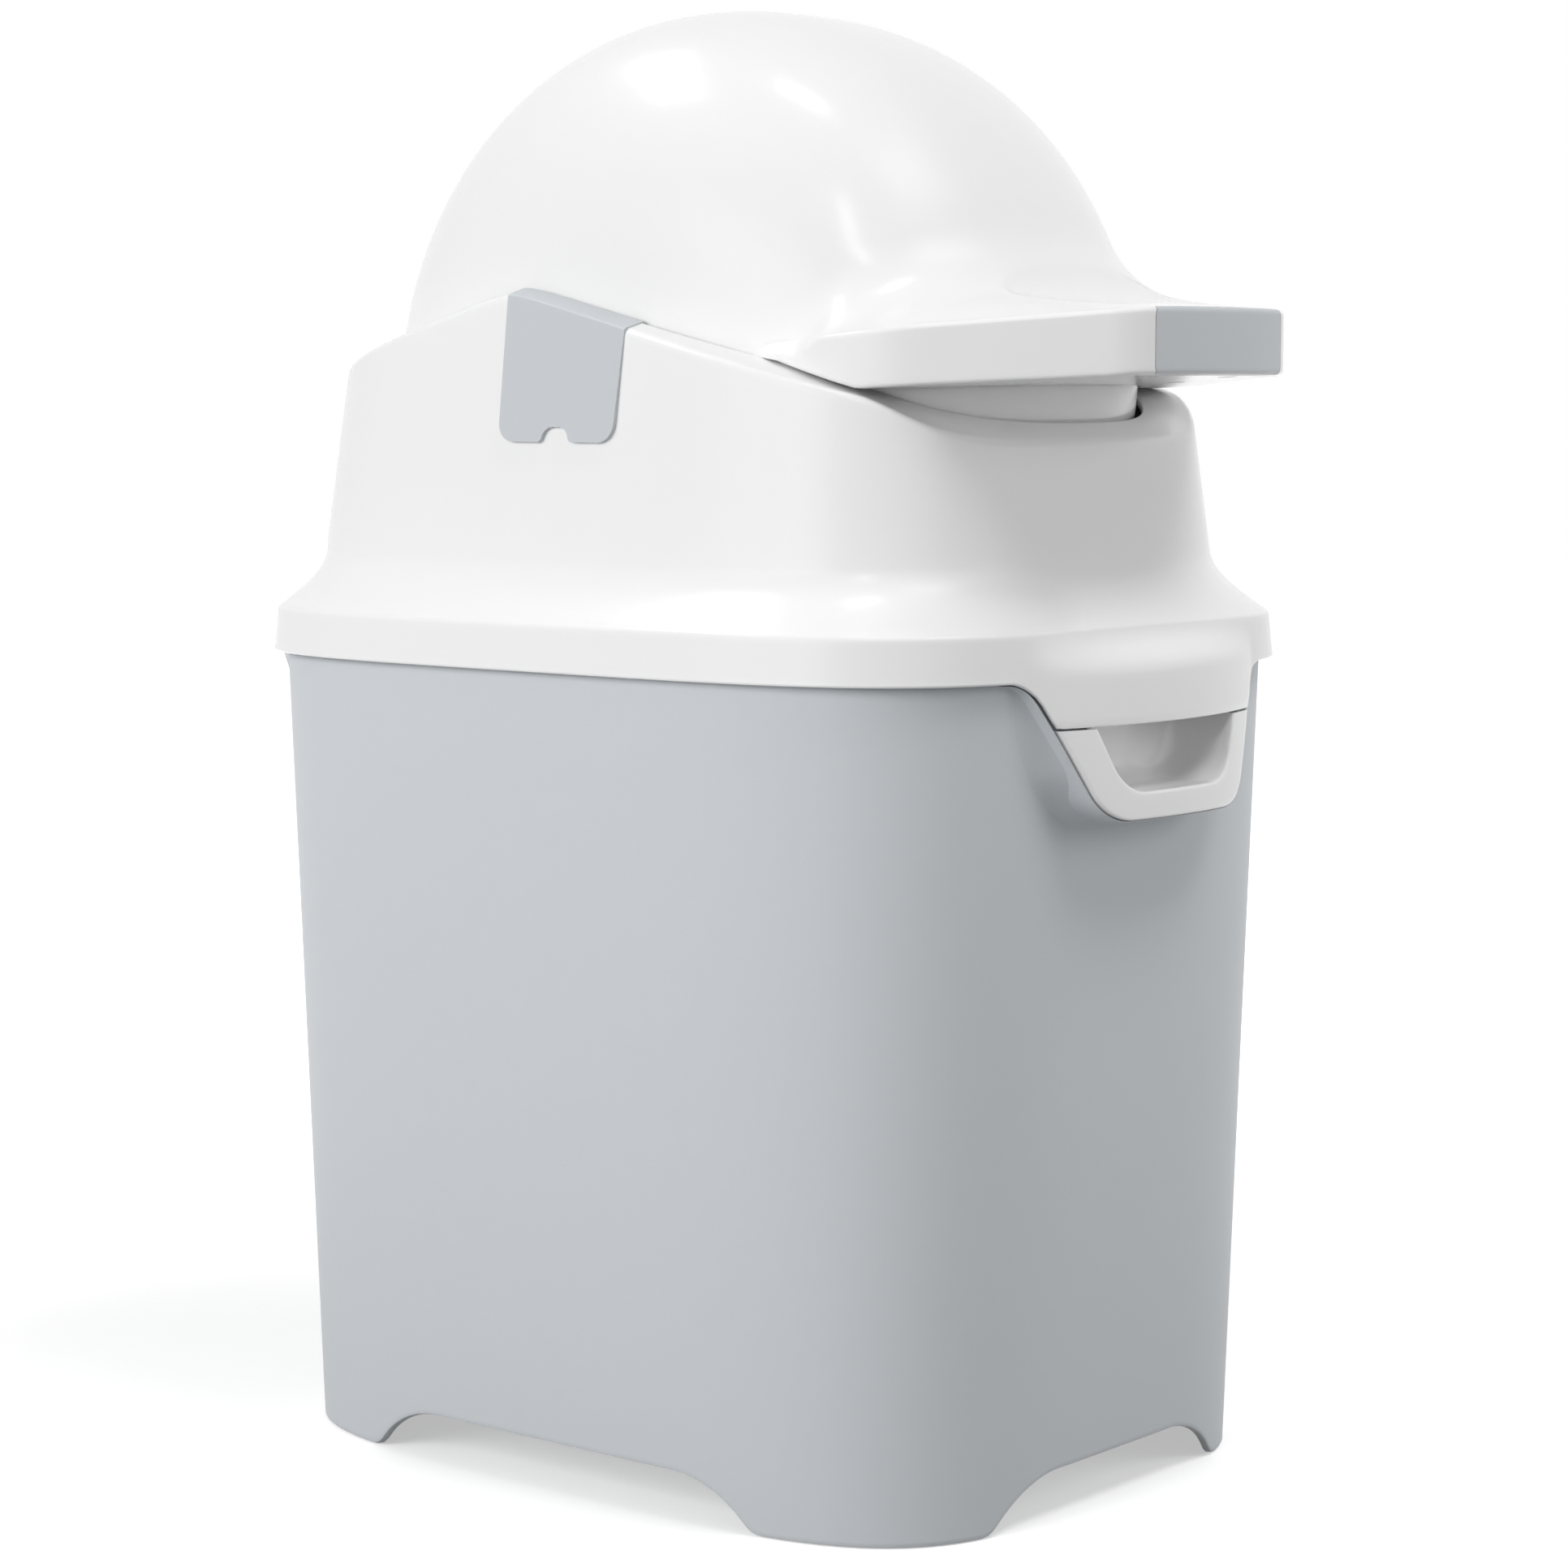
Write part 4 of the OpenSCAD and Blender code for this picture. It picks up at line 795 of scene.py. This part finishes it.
def dish(x, y):
    """Depth of the shallow dish for the thumb, with a crisp rim."""
    across, along, taper = 44, 21.5, 0.33
    half = across + taper * (np.asarray(y, float) - DISH_Y)
    q = np.abs(x / half) ** 4 + (np.abs(y - DISH_Y) / along) ** 4
    return DISH_DEPTH * np.clip(1 - q, 0, 1)


def brim_z(x, y):
    """Top of the handle before the hollow fillet to the dome."""
    s = np.clip(np.abs(x) / np.maximum(handle_x(y), 1), 0, 1)
    side = side_z(y)
    return side + (crown_z(y) - side) * (1 - s**3)


def dome_field(x, y, z):
    """About the distance outside the dome."""
    rho = np.sqrt((y - AXLE_Y) ** 2 + (z - DOME_Z) ** 2)
    q = ((np.abs(x) / DRUM_W) ** ROUND + (rho / DOME_R) ** ROUND) ** (1 / ROUND)
    scale = np.sqrt(x * x + rho * rho) / np.maximum(q, 1e-6)
    return (q - 1) * scale


def smooth_min(a, b, k):
    """The smaller of two distances, with a soft change over k where they are about equal."""
    h = np.clip(0.5 + 0.5 * (b - a) / k, 0, 1)
    return b + (a - b) * h - k * h * (1 - h)


def drum_field(x, y, z):
    """Negative inside the dome and handle, which meet in a hollow fillet."""
    fade = ease((-y - 62) / 40)
    top = z - brim_z(x, y) + (1 - fade) * 30
    return smooth_min(dome_field(x, y, z), top * 0.95, 9 + 9 * fade) + dish(x, y) * 0.95


def dome_edge(t):
    """Distance of the dome's lower edge from the axle's middle in direction t."""
    half = DRUM_W * (1 - ((AXLE_Z - DOME_Z) / DOME_R) ** ROUND) ** (1 / ROUND)
    return plan_r(t, half, SWEEP_R, ROUND)


def drum_edge(t):
    """Distance of the drum's outer edge from the axle's middle: the handle in front, the dome elsewhere."""
    lo, hi = dome_edge(t), np.full_like(t, 230)
    for _ in range(40):
        mid = (lo + hi) / 2
        x, y = mid * np.cos(t), AXLE_Y + mid * np.sin(t)
        side = (np.abs(x) - handle_x(y)) * SIDE_SLANT + CORNER_R
        front = tip_y(np.clip(x, -200, 200)) - y + CORNER_R
        outside = np.hypot(np.maximum(side, 0), np.maximum(front, 0)) - CORNER_R
        inside = (y < -67) & (outside < 0)
        lo = np.where(inside, mid, lo)
        hi = np.where(inside, hi, mid)
    return lo


def drum_directions():
    """Directions round the drum, closer together at the handle's corners."""
    tip = math.atan2(196.5 + AXLE_Y, 44.5)
    stops = (0, 0.35, tip - 0.05, tip + 0.05, math.pi / 2)
    spans = zip(stops, stops[1:], (14, 90, 26, 26))
    right = [a for first, last, count in spans for a in np.linspace(first, last, count, endpoint=False)]
    front = [-a for a in right] + [-math.pi / 2] + [a - math.pi for a in right]
    back = list(np.linspace(math.pi, 0, 120, endpoint=False))[1:]
    return np.array(sorted(set(np.round(front + back, 9))))


def along_rays(field, t, angles):
    """Distance from the axle's middle to where field turns positive, for each rise and direction."""
    lo = np.full((len(angles), len(t)), 60.0)
    hi = np.full((len(angles), len(t)), 260.0)
    ca, sa = np.cos(angles)[:, None], np.sin(angles)[:, None]
    for _ in range(36):
        mid = (lo + hi) / 2
        inside = field(mid * ca * np.cos(t), AXLE_Y + mid * ca * np.sin(t), AXLE_Z + mid * sa) < 0
        lo = np.where(inside, mid, lo)
        hi = np.where(inside, hi, mid)
    return lo * ca, AXLE_Z + lo * sa


def top_at(x, y):
    """Height of the handle's top over a point near its edge."""
    low, high = AXLE_Z + 0.3, 440.0
    for _ in range(30):
        mid = (low + high) / 2
        solid = drum_field(x, y, np.array(mid)) < 0
        low, high = (mid, high) if solid else (low, mid)
    return low


def drum_top():
    """Dome and handle as one skin: each section runs down the dome, over the handle and round its edge."""
    t = drum_directions()
    c, s = np.cos(t), np.sin(t)
    edge = drum_edge(t)
    reach = edge - dome_edge(t)
    on_handle = reach > 0.5
    lip = LIP_R * np.clip(reach / 6, 0, 1)
    inner = edge - lip
    angles = np.radians(np.concatenate([np.linspace(90, 24, 90), np.linspace(23.8, 0.2, 240)]))
    rr, zz = along_rays(drum_field, t, angles)
    columns = []
    for j in range(len(t)):
        keep = rr[:, j] < inner[j]
        stop = len(keep) if keep.all() else int(np.argmin(keep))
        z_end = top_at(inner[j] * c[j], AXLE_Y + inner[j] * s[j]) if on_handle[j] else AXLE_Z + 0.3
        line = np.stack([np.append(rr[:stop, j], inner[j]), np.append(zz[:stop, j], z_end)], axis=1)
        columns.append(resample(line, 120))
    columns = np.array(columns)

    def around(r, z):
        return np.stack([r * c, AXLE_Y + r * s, z], axis=1)

    rows = [around(columns[:, i, 0], columns[:, i, 1]) for i in range(120)]
    top = rows[-1][:, 2]
    under = np.minimum(np.where(on_handle, under_z(AXLE_Y + edge * s), AXLE_Z + 0.1), top - 0.3)
    for f, drop in ((0.35, 0.07), (0.62, 0.22), (0.84, 0.46), (0.96, 0.74), (1, 1.02)):
        rows.append(around(inner + lip * f, top - lip * drop - 0.01 * f))
    for f in (0.05, 0.5, 0.95):
        rows.append(around(edge, (top - lip) * (1 - f) + (under + lip) * f))
    for f, rise in ((1, 0.98), (0.93, 0.6), (0.75, 0.33), (0.45, 0.1)):
        rows.append(around(inner + lip * f, under + lip * rise + 0.01))
    rows.append(around(inner - 0.02, under))
    wall = np.maximum(edge - 3 - lip, dome_edge(t) - DRUM_WALL)
    floor = np.where(on_handle, under_z(AXLE_Y + wall * s), under)
    rows += [around(wall, floor), around(wall, floor + 2.4)]
    inside = np.radians(np.linspace(2, 88, 24))
    rr, zz = along_rays(lambda x, y, z: dome_field(x, y, z) + DRUM_WALL, t, inside)
    rows += [around(r, z) for r, z in zip(rr, zz)]
    return recalc(rings_mesh("drum_top", rows[::-1], cap_first=True, cap_last=True), 50)


def bowl_body(inset, low, lift):
    """Solid of revolution about the axle below its height, cut off flat at low."""
    steps, turns = 72, 150
    e = 2 / ROUND
    points = []
    for k in range(turns + 1):
        a = math.pi - lift + (math.pi + 2 * lift) * k / turns
        for v in np.linspace(-math.pi / 2, math.pi / 2, steps):
            rad = (SWEEP_R - inset) * abs(math.cos(v)) ** e
            x = (DRUM_W - inset) * math.copysign(abs(math.sin(v)) ** e, v)
            points.append((x, AXLE_Y + rad * math.cos(a), AXLE_Z + rad * math.sin(a)))
    faces = grid_faces(turns + 1, steps, close_cols=False)
    faces.append(tuple(range(steps)) + tuple(turns * steps + k for k in reversed(range(1, steps - 1))))
    body = recalc(make_mesh("drum_bowl", points, faces))
    far = 150
    slab = [(-far, -far), (far, -far), (far, far), (-far, far)]
    return cut(body, recalc(prism("slab", slab, along_z, (200, low))))


def drum_bowl():
    """Lower half of the drum, turned about the axle, with a flat bottom and the chute's mouth."""
    bowl = cut(bowl_body(0, BOWL_LOW, 0), bowl_body(DRUM_WALL, BOWL_LOW + DRUM_WALL, 0.02))
    cut(bowl, recalc(prism("mouth", arc((0, AXLE_Y), MOUTH_R, 0, 357, 120), along_z, (300, 330))))
    return recalc(bowl, 35)


def insert_block(grow):
    """Prism with rounded corners through the middle of the handle's tip."""
    half, low, high = INSERT_X + grow, 390 - grow, 416 + grow
    outline = rounded([(-half, low, 5), (half, low, 5), (half, high, 6), (-half, high, 6)], 8)
    return prism("block", outline, along_y, (-206, -194.4 + grow))


def dots():
    """Three tiny raised dots at the dish's front edge."""
    z = float(brim_z(0, DOT_Y) - dish(0, DOT_Y)) - 0.3
    rings = []
    for a in np.radians(np.linspace(0, 75, 6)):
        rings.append(np.array([(x, y, z + math.sin(a)) for x, y in arc((0, DOT_Y), math.cos(a), 0, 345, 24)]))
    dot = recalc(rings_mesh("dot", rings, cap_first=True, cap_last=True))
    return copies(dot, WHITE, columns=3, width=13)


def drum_parts():
    """The dome with its handle, and the grey insert cut out of the handle's tip."""
    top = drum_top()
    tip = top.copy()
    tip.data = top.data.copy()
    tip.name = "insert"
    bpy.context.scene.collection.objects.link(tip)
    cut(top, recalc(insert_block(SEAM)))
    cut(tip, recalc(insert_block(0)), "INTERSECT")
    return recalc(join("drum_top", [top, dots()]), 40), recalc(tip, 40)


# Materials


def math_node(nodes, links, operation, *values):
    """A math node on sockets or plain numbers; returns its result."""
    made = nodes.new("ShaderNodeMath")
    made.operation = operation
    for socket, value in zip(made.inputs, values):
        if isinstance(value, (int, float)):
            socket.default_value = value
        else:
            links.new(value, socket)
    return made.outputs[0]


def grain_group():
    """Shared surface grain: a bump and a slight change of roughness from noise in object coordinates."""
    group = bpy.data.node_groups.new("surface grain", "ShaderNodeTree")
    for name, value in (
        ("Grain Scale", 900.0),
        ("Grain Height", 0.02),
        ("Base Roughness", 0.5),
        ("Roughness Spread", 0.05),
    ):
        socket = group.interface.new_socket(name=name, in_out="INPUT", socket_type="NodeSocketFloat")
        socket.default_value = value
    group.interface.new_socket(name="Roughness", in_out="OUTPUT", socket_type="NodeSocketFloat")
    group.interface.new_socket(name="Normal", in_out="OUTPUT", socket_type="NodeSocketVector")
    nodes, links = group.nodes, group.links
    given, result = nodes.new("NodeGroupInput"), nodes.new("NodeGroupOutput")
    coord = nodes.new("ShaderNodeTexCoord")
    fine = nodes.new("ShaderNodeTexNoise")
    fine.inputs["Detail"].default_value = 3.0
    wide = nodes.new("ShaderNodeTexNoise")
    wide.inputs["Scale"].default_value = 14.0
    bump = nodes.new("ShaderNodeBump")
    bump.inputs["Distance"].default_value = 0.001
    links.new(coord.outputs["Object"], fine.inputs["Vector"])
    links.new(coord.outputs["Object"], wide.inputs["Vector"])
    links.new(given.outputs["Grain Scale"], fine.inputs["Scale"])
    links.new(given.outputs["Grain Height"], bump.inputs["Strength"])
    links.new(fine.outputs["Fac"], bump.inputs["Height"])
    centred = math_node(nodes, links, "SUBTRACT", wide.outputs["Fac"], 0.5)
    spread, base = given.outputs["Roughness Spread"], given.outputs["Base Roughness"]
    rough = math_node(nodes, links, "MULTIPLY_ADD", centred, spread, base)
    links.new(rough, result.inputs["Roughness"])
    links.new(bump.outputs["Normal"], result.inputs["Normal"])
    return group


GRAIN = grain_group()


def material(name, colour, metallic=0.0, coat=0.0, specular=0.5, **grain):
    """A plain material whose roughness and normal come from the shared grain."""
    mat = bpy.data.materials.new(name)
    mat.use_nodes = True
    nodes, links = mat.node_tree.nodes, mat.node_tree.links
    shader = nodes["Principled BSDF"]
    shader.inputs["Base Color"].default_value = (*colour, 1)
    shader.inputs["Metallic"].default_value = metallic
    shader.inputs["Specular IOR Level"].default_value = specular
    shader.inputs["Coat Weight"].default_value = coat
    shader.inputs["Coat Roughness"].default_value = 0.1
    surface = nodes.new("ShaderNodeGroup")
    surface.node_tree = GRAIN
    for key, value in grain.items():
        surface.inputs[key.replace("_", " ")].default_value = value
    links.new(surface.outputs["Roughness"], shader.inputs["Roughness"])
    links.new(surface.outputs["Normal"], shader.inputs["Normal"])
    return mat


TUB_GREY = material(
    "tub grey",
    (0.608, 0.636, 0.663),
    specular=0.35,
    Base_Roughness=0.5,
    Grain_Height=0.05,
    Grain_Scale=1400.0,
)
CLIP_GREY = material(
    "clip grey",
    (0.545, 0.572, 0.598),
    Base_Roughness=0.38,
    Grain_Height=0.03,
    Grain_Scale=1800.0,
)
WHITE = material(
    "gloss white",
    (0.86, 0.86, 0.86),
    coat=0.3,
    Base_Roughness=0.22,
    Grain_Height=0.0,
    Roughness_Spread=0.03,
)
RUBBER = material("rubber", (0.25, 0.27, 0.29), Base_Roughness=0.75, Grain_Height=0.1)
STEEL = material("steel", (0.6, 0.6, 0.61), metallic=1.0, Base_Roughness=0.3, Grain_Height=0.02)
IRON = material(
    "cast iron",
    (0.09, 0.09, 0.1),
    metallic=0.6,
    Base_Roughness=0.6,
    Grain_Height=0.4,
    Grain_Scale=500.0,
)
BY_SLOT = {
    "tub_plastic": TUB_GREY,
    "white_plastic": WHITE,
    "clip_plastic": CLIP_GREY,
    "seal_rubber": RUBBER,
    "steel": STEEL,
    "cast_iron": IRON,
}


def paint(obj, mat):
    """One material all over an object."""
    obj.data.materials.clear()
    obj.data.materials.append(mat)


def dress(obj, body, node, slot):
    """Puts a new skin in place of a frame node."""
    paint(obj, BY_SLOT[slot])
    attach(obj, body)
    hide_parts(node)


# Studio

SKY_LEVEL = 0.24
SKY_SLOPE = (-0.1, 0.0, 0.1)
SKY_LEAST = 0.05
FLOOR_HALF = 6000


def area_light(name, place, target, size, power, mirrored_only=False):
    """A softbox that lights without being mirrored, or a card that is only seen mirrored."""
    data = bpy.data.lights.new(name, "AREA")
    data.shape = "RECTANGLE"
    data.size, data.size_y = size
    data.energy = power
    lamp = bpy.data.objects.new(name, data)
    lamp.location = place
    lamp.rotation_mode = "QUATERNION"
    lamp.rotation_quaternion = (Vector(target) - Vector(place)).to_track_quat("-Z", "Y")
    lamp.visible_glossy = mirrored_only
    lamp.visible_diffuse = not mirrored_only
    bpy.context.scene.collection.objects.link(lamp)


def seen_directly(nodes, links):
    """1 for rays that show the background itself: camera, glossy and transmission rays."""
    path = nodes.new("ShaderNodeLightPath")
    seen = math_node(nodes, links, "MAXIMUM", path.outputs["Is Camera Ray"], path.outputs["Is Glossy Ray"])
    return math_node(nodes, links, "MAXIMUM", seen, path.outputs["Is Transmission Ray"])


def white_world():
    """White where it is seen, and a dim sky that lights from above and from the left."""
    world = bpy.data.worlds.new("white studio")
    bpy.context.scene.world = world
    world.use_nodes = True
    nodes, links = world.node_tree.nodes, world.node_tree.links
    back = nodes["Background"]
    back.inputs["Color"].default_value = (1, 1, 1, 1)
    coord = nodes.new("ShaderNodeTexCoord")
    slope = nodes.new("ShaderNodeVectorMath")
    slope.operation = "DOT_PRODUCT"
    slope.inputs[1].default_value = SKY_SLOPE
    links.new(coord.outputs["Generated"], slope.inputs[0])
    level = math_node(nodes, links, "ADD", slope.outputs["Value"], SKY_LEVEL)
    mix = nodes.new("ShaderNodeMix")
    mix.data_type = "FLOAT"
    mix.inputs["B"].default_value = 1.0
    links.new(math_node(nodes, links, "MAXIMUM", level, SKY_LEAST), mix.inputs["A"])
    links.new(seen_directly(nodes, links), mix.inputs["Factor"])
    links.new(mix.outputs["Result"], back.inputs["Strength"])


def white_floor():
    """A floor that takes the bin's shadow and glows to white away from it."""
    corners = [(-1, -1), (1, -1), (1, 1), (-1, 1)]
    floor = make_mesh("floor", [(x * FLOOR_HALF, y * FLOOR_HALF, -0.3) for x, y in corners], [(0, 1, 2, 3)])
    mat = bpy.data.materials.new("white floor")
    mat.use_nodes = True
    nodes, links = mat.node_tree.nodes, mat.node_tree.links
    shader = nodes["Principled BSDF"]
    shader.inputs["Roughness"].default_value = 0.9
    shader.inputs["Specular IOR Level"].default_value = 0.0
    shader.inputs["Emission Color"].default_value = (1, 1, 1, 1)
    seen = seen_directly(nodes, links)
    tone = nodes.new("ShaderNodeMix")
    tone.data_type = "RGBA"
    tone.inputs["A"].default_value = (0.3, 0.3, 0.3, 1)
    tone.inputs["B"].default_value = (0.8, 0.8, 0.8, 1)
    links.new(seen, tone.inputs["Factor"])
    links.new(tone.outputs["Result"], shader.inputs["Base Color"])
    coord = nodes.new("ShaderNodeTexCoord")
    away = nodes.new("ShaderNodeVectorMath")
    away.operation = "LENGTH"
    links.new(coord.outputs["Object"], away.inputs[0])
    fade = nodes.new("ShaderNodeMapRange")
    fade.interpolation_type = "SMOOTHSTEP"
    for name, value in (("From Min", 0.3), ("From Max", 0.8), ("To Min", 0.45), ("To Max", 1.0)):
        fade.inputs[name].default_value = value
    links.new(away.outputs["Value"], fade.inputs["Value"])
    glow = math_node(nodes, links, "MULTIPLY", seen, fade.outputs["Result"])
    links.new(glow, shader.inputs["Emission Strength"])
    paint(floor, mat)


def lamps():
    """Four softboxes round the bin, and three cards for the white plastic's soft highlights."""
    aim, high_aim = (0, 0, 0.3), (0, 0, 0.45)
    area_light("left softbox", (-1.7, 0.25, 0.8), aim, (1.2, 0.9), 20.5)
    area_light("high softbox", (0.1, -0.85, 1.8), aim, (0.9, 0.5), 10.5)
    area_light("right softbox", (0.95, -1.5, 0.8), aim, (1.0, 0.8), 8.6)
    area_light("rear softbox", (0.9, 1.6, 0.7), aim, (1.0, 0.8), 7)
    area_light("back card", (-0.35, 1.05, 2.05), high_aim, (1.0, 0.4), 4, True)
    area_light("top card", (-0.25, 0.0, 2.4), high_aim, (0.5, 0.3), 1.6, True)
    area_light("front card", (-1.36, -0.8, 1.7), high_aim, (0.2, 0.6), 1.3, True)


def camera():
    """The photograph's viewpoint, solved from the bin's edges."""
    data = bpy.data.cameras.new("camera")
    data.sensor_width = 36
    data.lens = 90.19
    data.clip_start, data.clip_end = 0.05, 50
    cam = bpy.data.objects.new("camera", data)
    cam.location = (-1.11219, -0.925, 0.39033)
    cam.rotation_mode = "QUATERNION"
    look = Vector((0.76738394, 0.63291959, -0.10263862))
    cam.rotation_quaternion = look.to_track_quat("-Z", "Y")
    bpy.context.scene.collection.objects.link(cam)
    bpy.context.scene.camera = cam


# The pieces in the picture


def dress_tub():
    """The tub with its boss, and the finger grip let into it."""
    skin = tub_shell()
    cut(skin, pocket_cutter(-186, -150))
    block = boss()
    cut(block, pocket_cutter(-190, -140))
    tub = recalc(join("tub_piece", [skin, tub_floor(), block, *tub_ribs(), hinge_ears()]), 30)
    dress(tub, "base", "tub", "tub_plastic")
    grip = recalc(join("grip_piece", [grip_frame(), *pocket_cup()]), 50)
    dress(grip, "base", "grip_pocket", "white_plastic")


def dress_head():
    """The head, and the two clips in its windows."""
    head = rings_mesh("head_skin", head_outside() + head_inside(), close_rows=True)
    cut(head, bay_cutter(1))
    cut(head, bay_cutter(-1))
    head = recalc(join("head_piece", [head, knuckles(), *screw_posts()]), 30)
    dress(head, "head", "head_shell", "white_plastic")
    for side, node, body in ((-1, "clip_left", "left_clip"), (1, "clip_right", "right_clip")):
        piece = clip_mesh(side)
        piece.name = node + "_piece"
        dress(piece, body, node, "clip_plastic")


def dress_drum():
    """The drum's three visible pieces."""
    top, insert = drum_parts()
    dress(top, "drum", "dome_shell", "white_plastic")
    dress(insert, "drum", "grip_insert", "clip_plastic")
    dress(drum_bowl(), "drum", "drum_bowl", "white_plastic")


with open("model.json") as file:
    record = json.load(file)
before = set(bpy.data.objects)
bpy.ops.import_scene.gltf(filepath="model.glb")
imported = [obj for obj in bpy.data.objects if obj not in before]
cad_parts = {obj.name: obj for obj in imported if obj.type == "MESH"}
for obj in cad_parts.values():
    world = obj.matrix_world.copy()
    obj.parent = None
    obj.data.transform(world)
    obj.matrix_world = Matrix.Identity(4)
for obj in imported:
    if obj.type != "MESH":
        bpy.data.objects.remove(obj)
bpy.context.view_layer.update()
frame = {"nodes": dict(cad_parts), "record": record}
for entry in frame["record"]["subparts"]:
    paint(frame["nodes"][entry["node"]], BY_SLOT[entry["material_slot"]])
dress_tub()
dress_head()
dress_drum()
white_world()
white_floor()
lamps()
camera()
bpy.context.scene.view_settings.view_transform = "Standard"
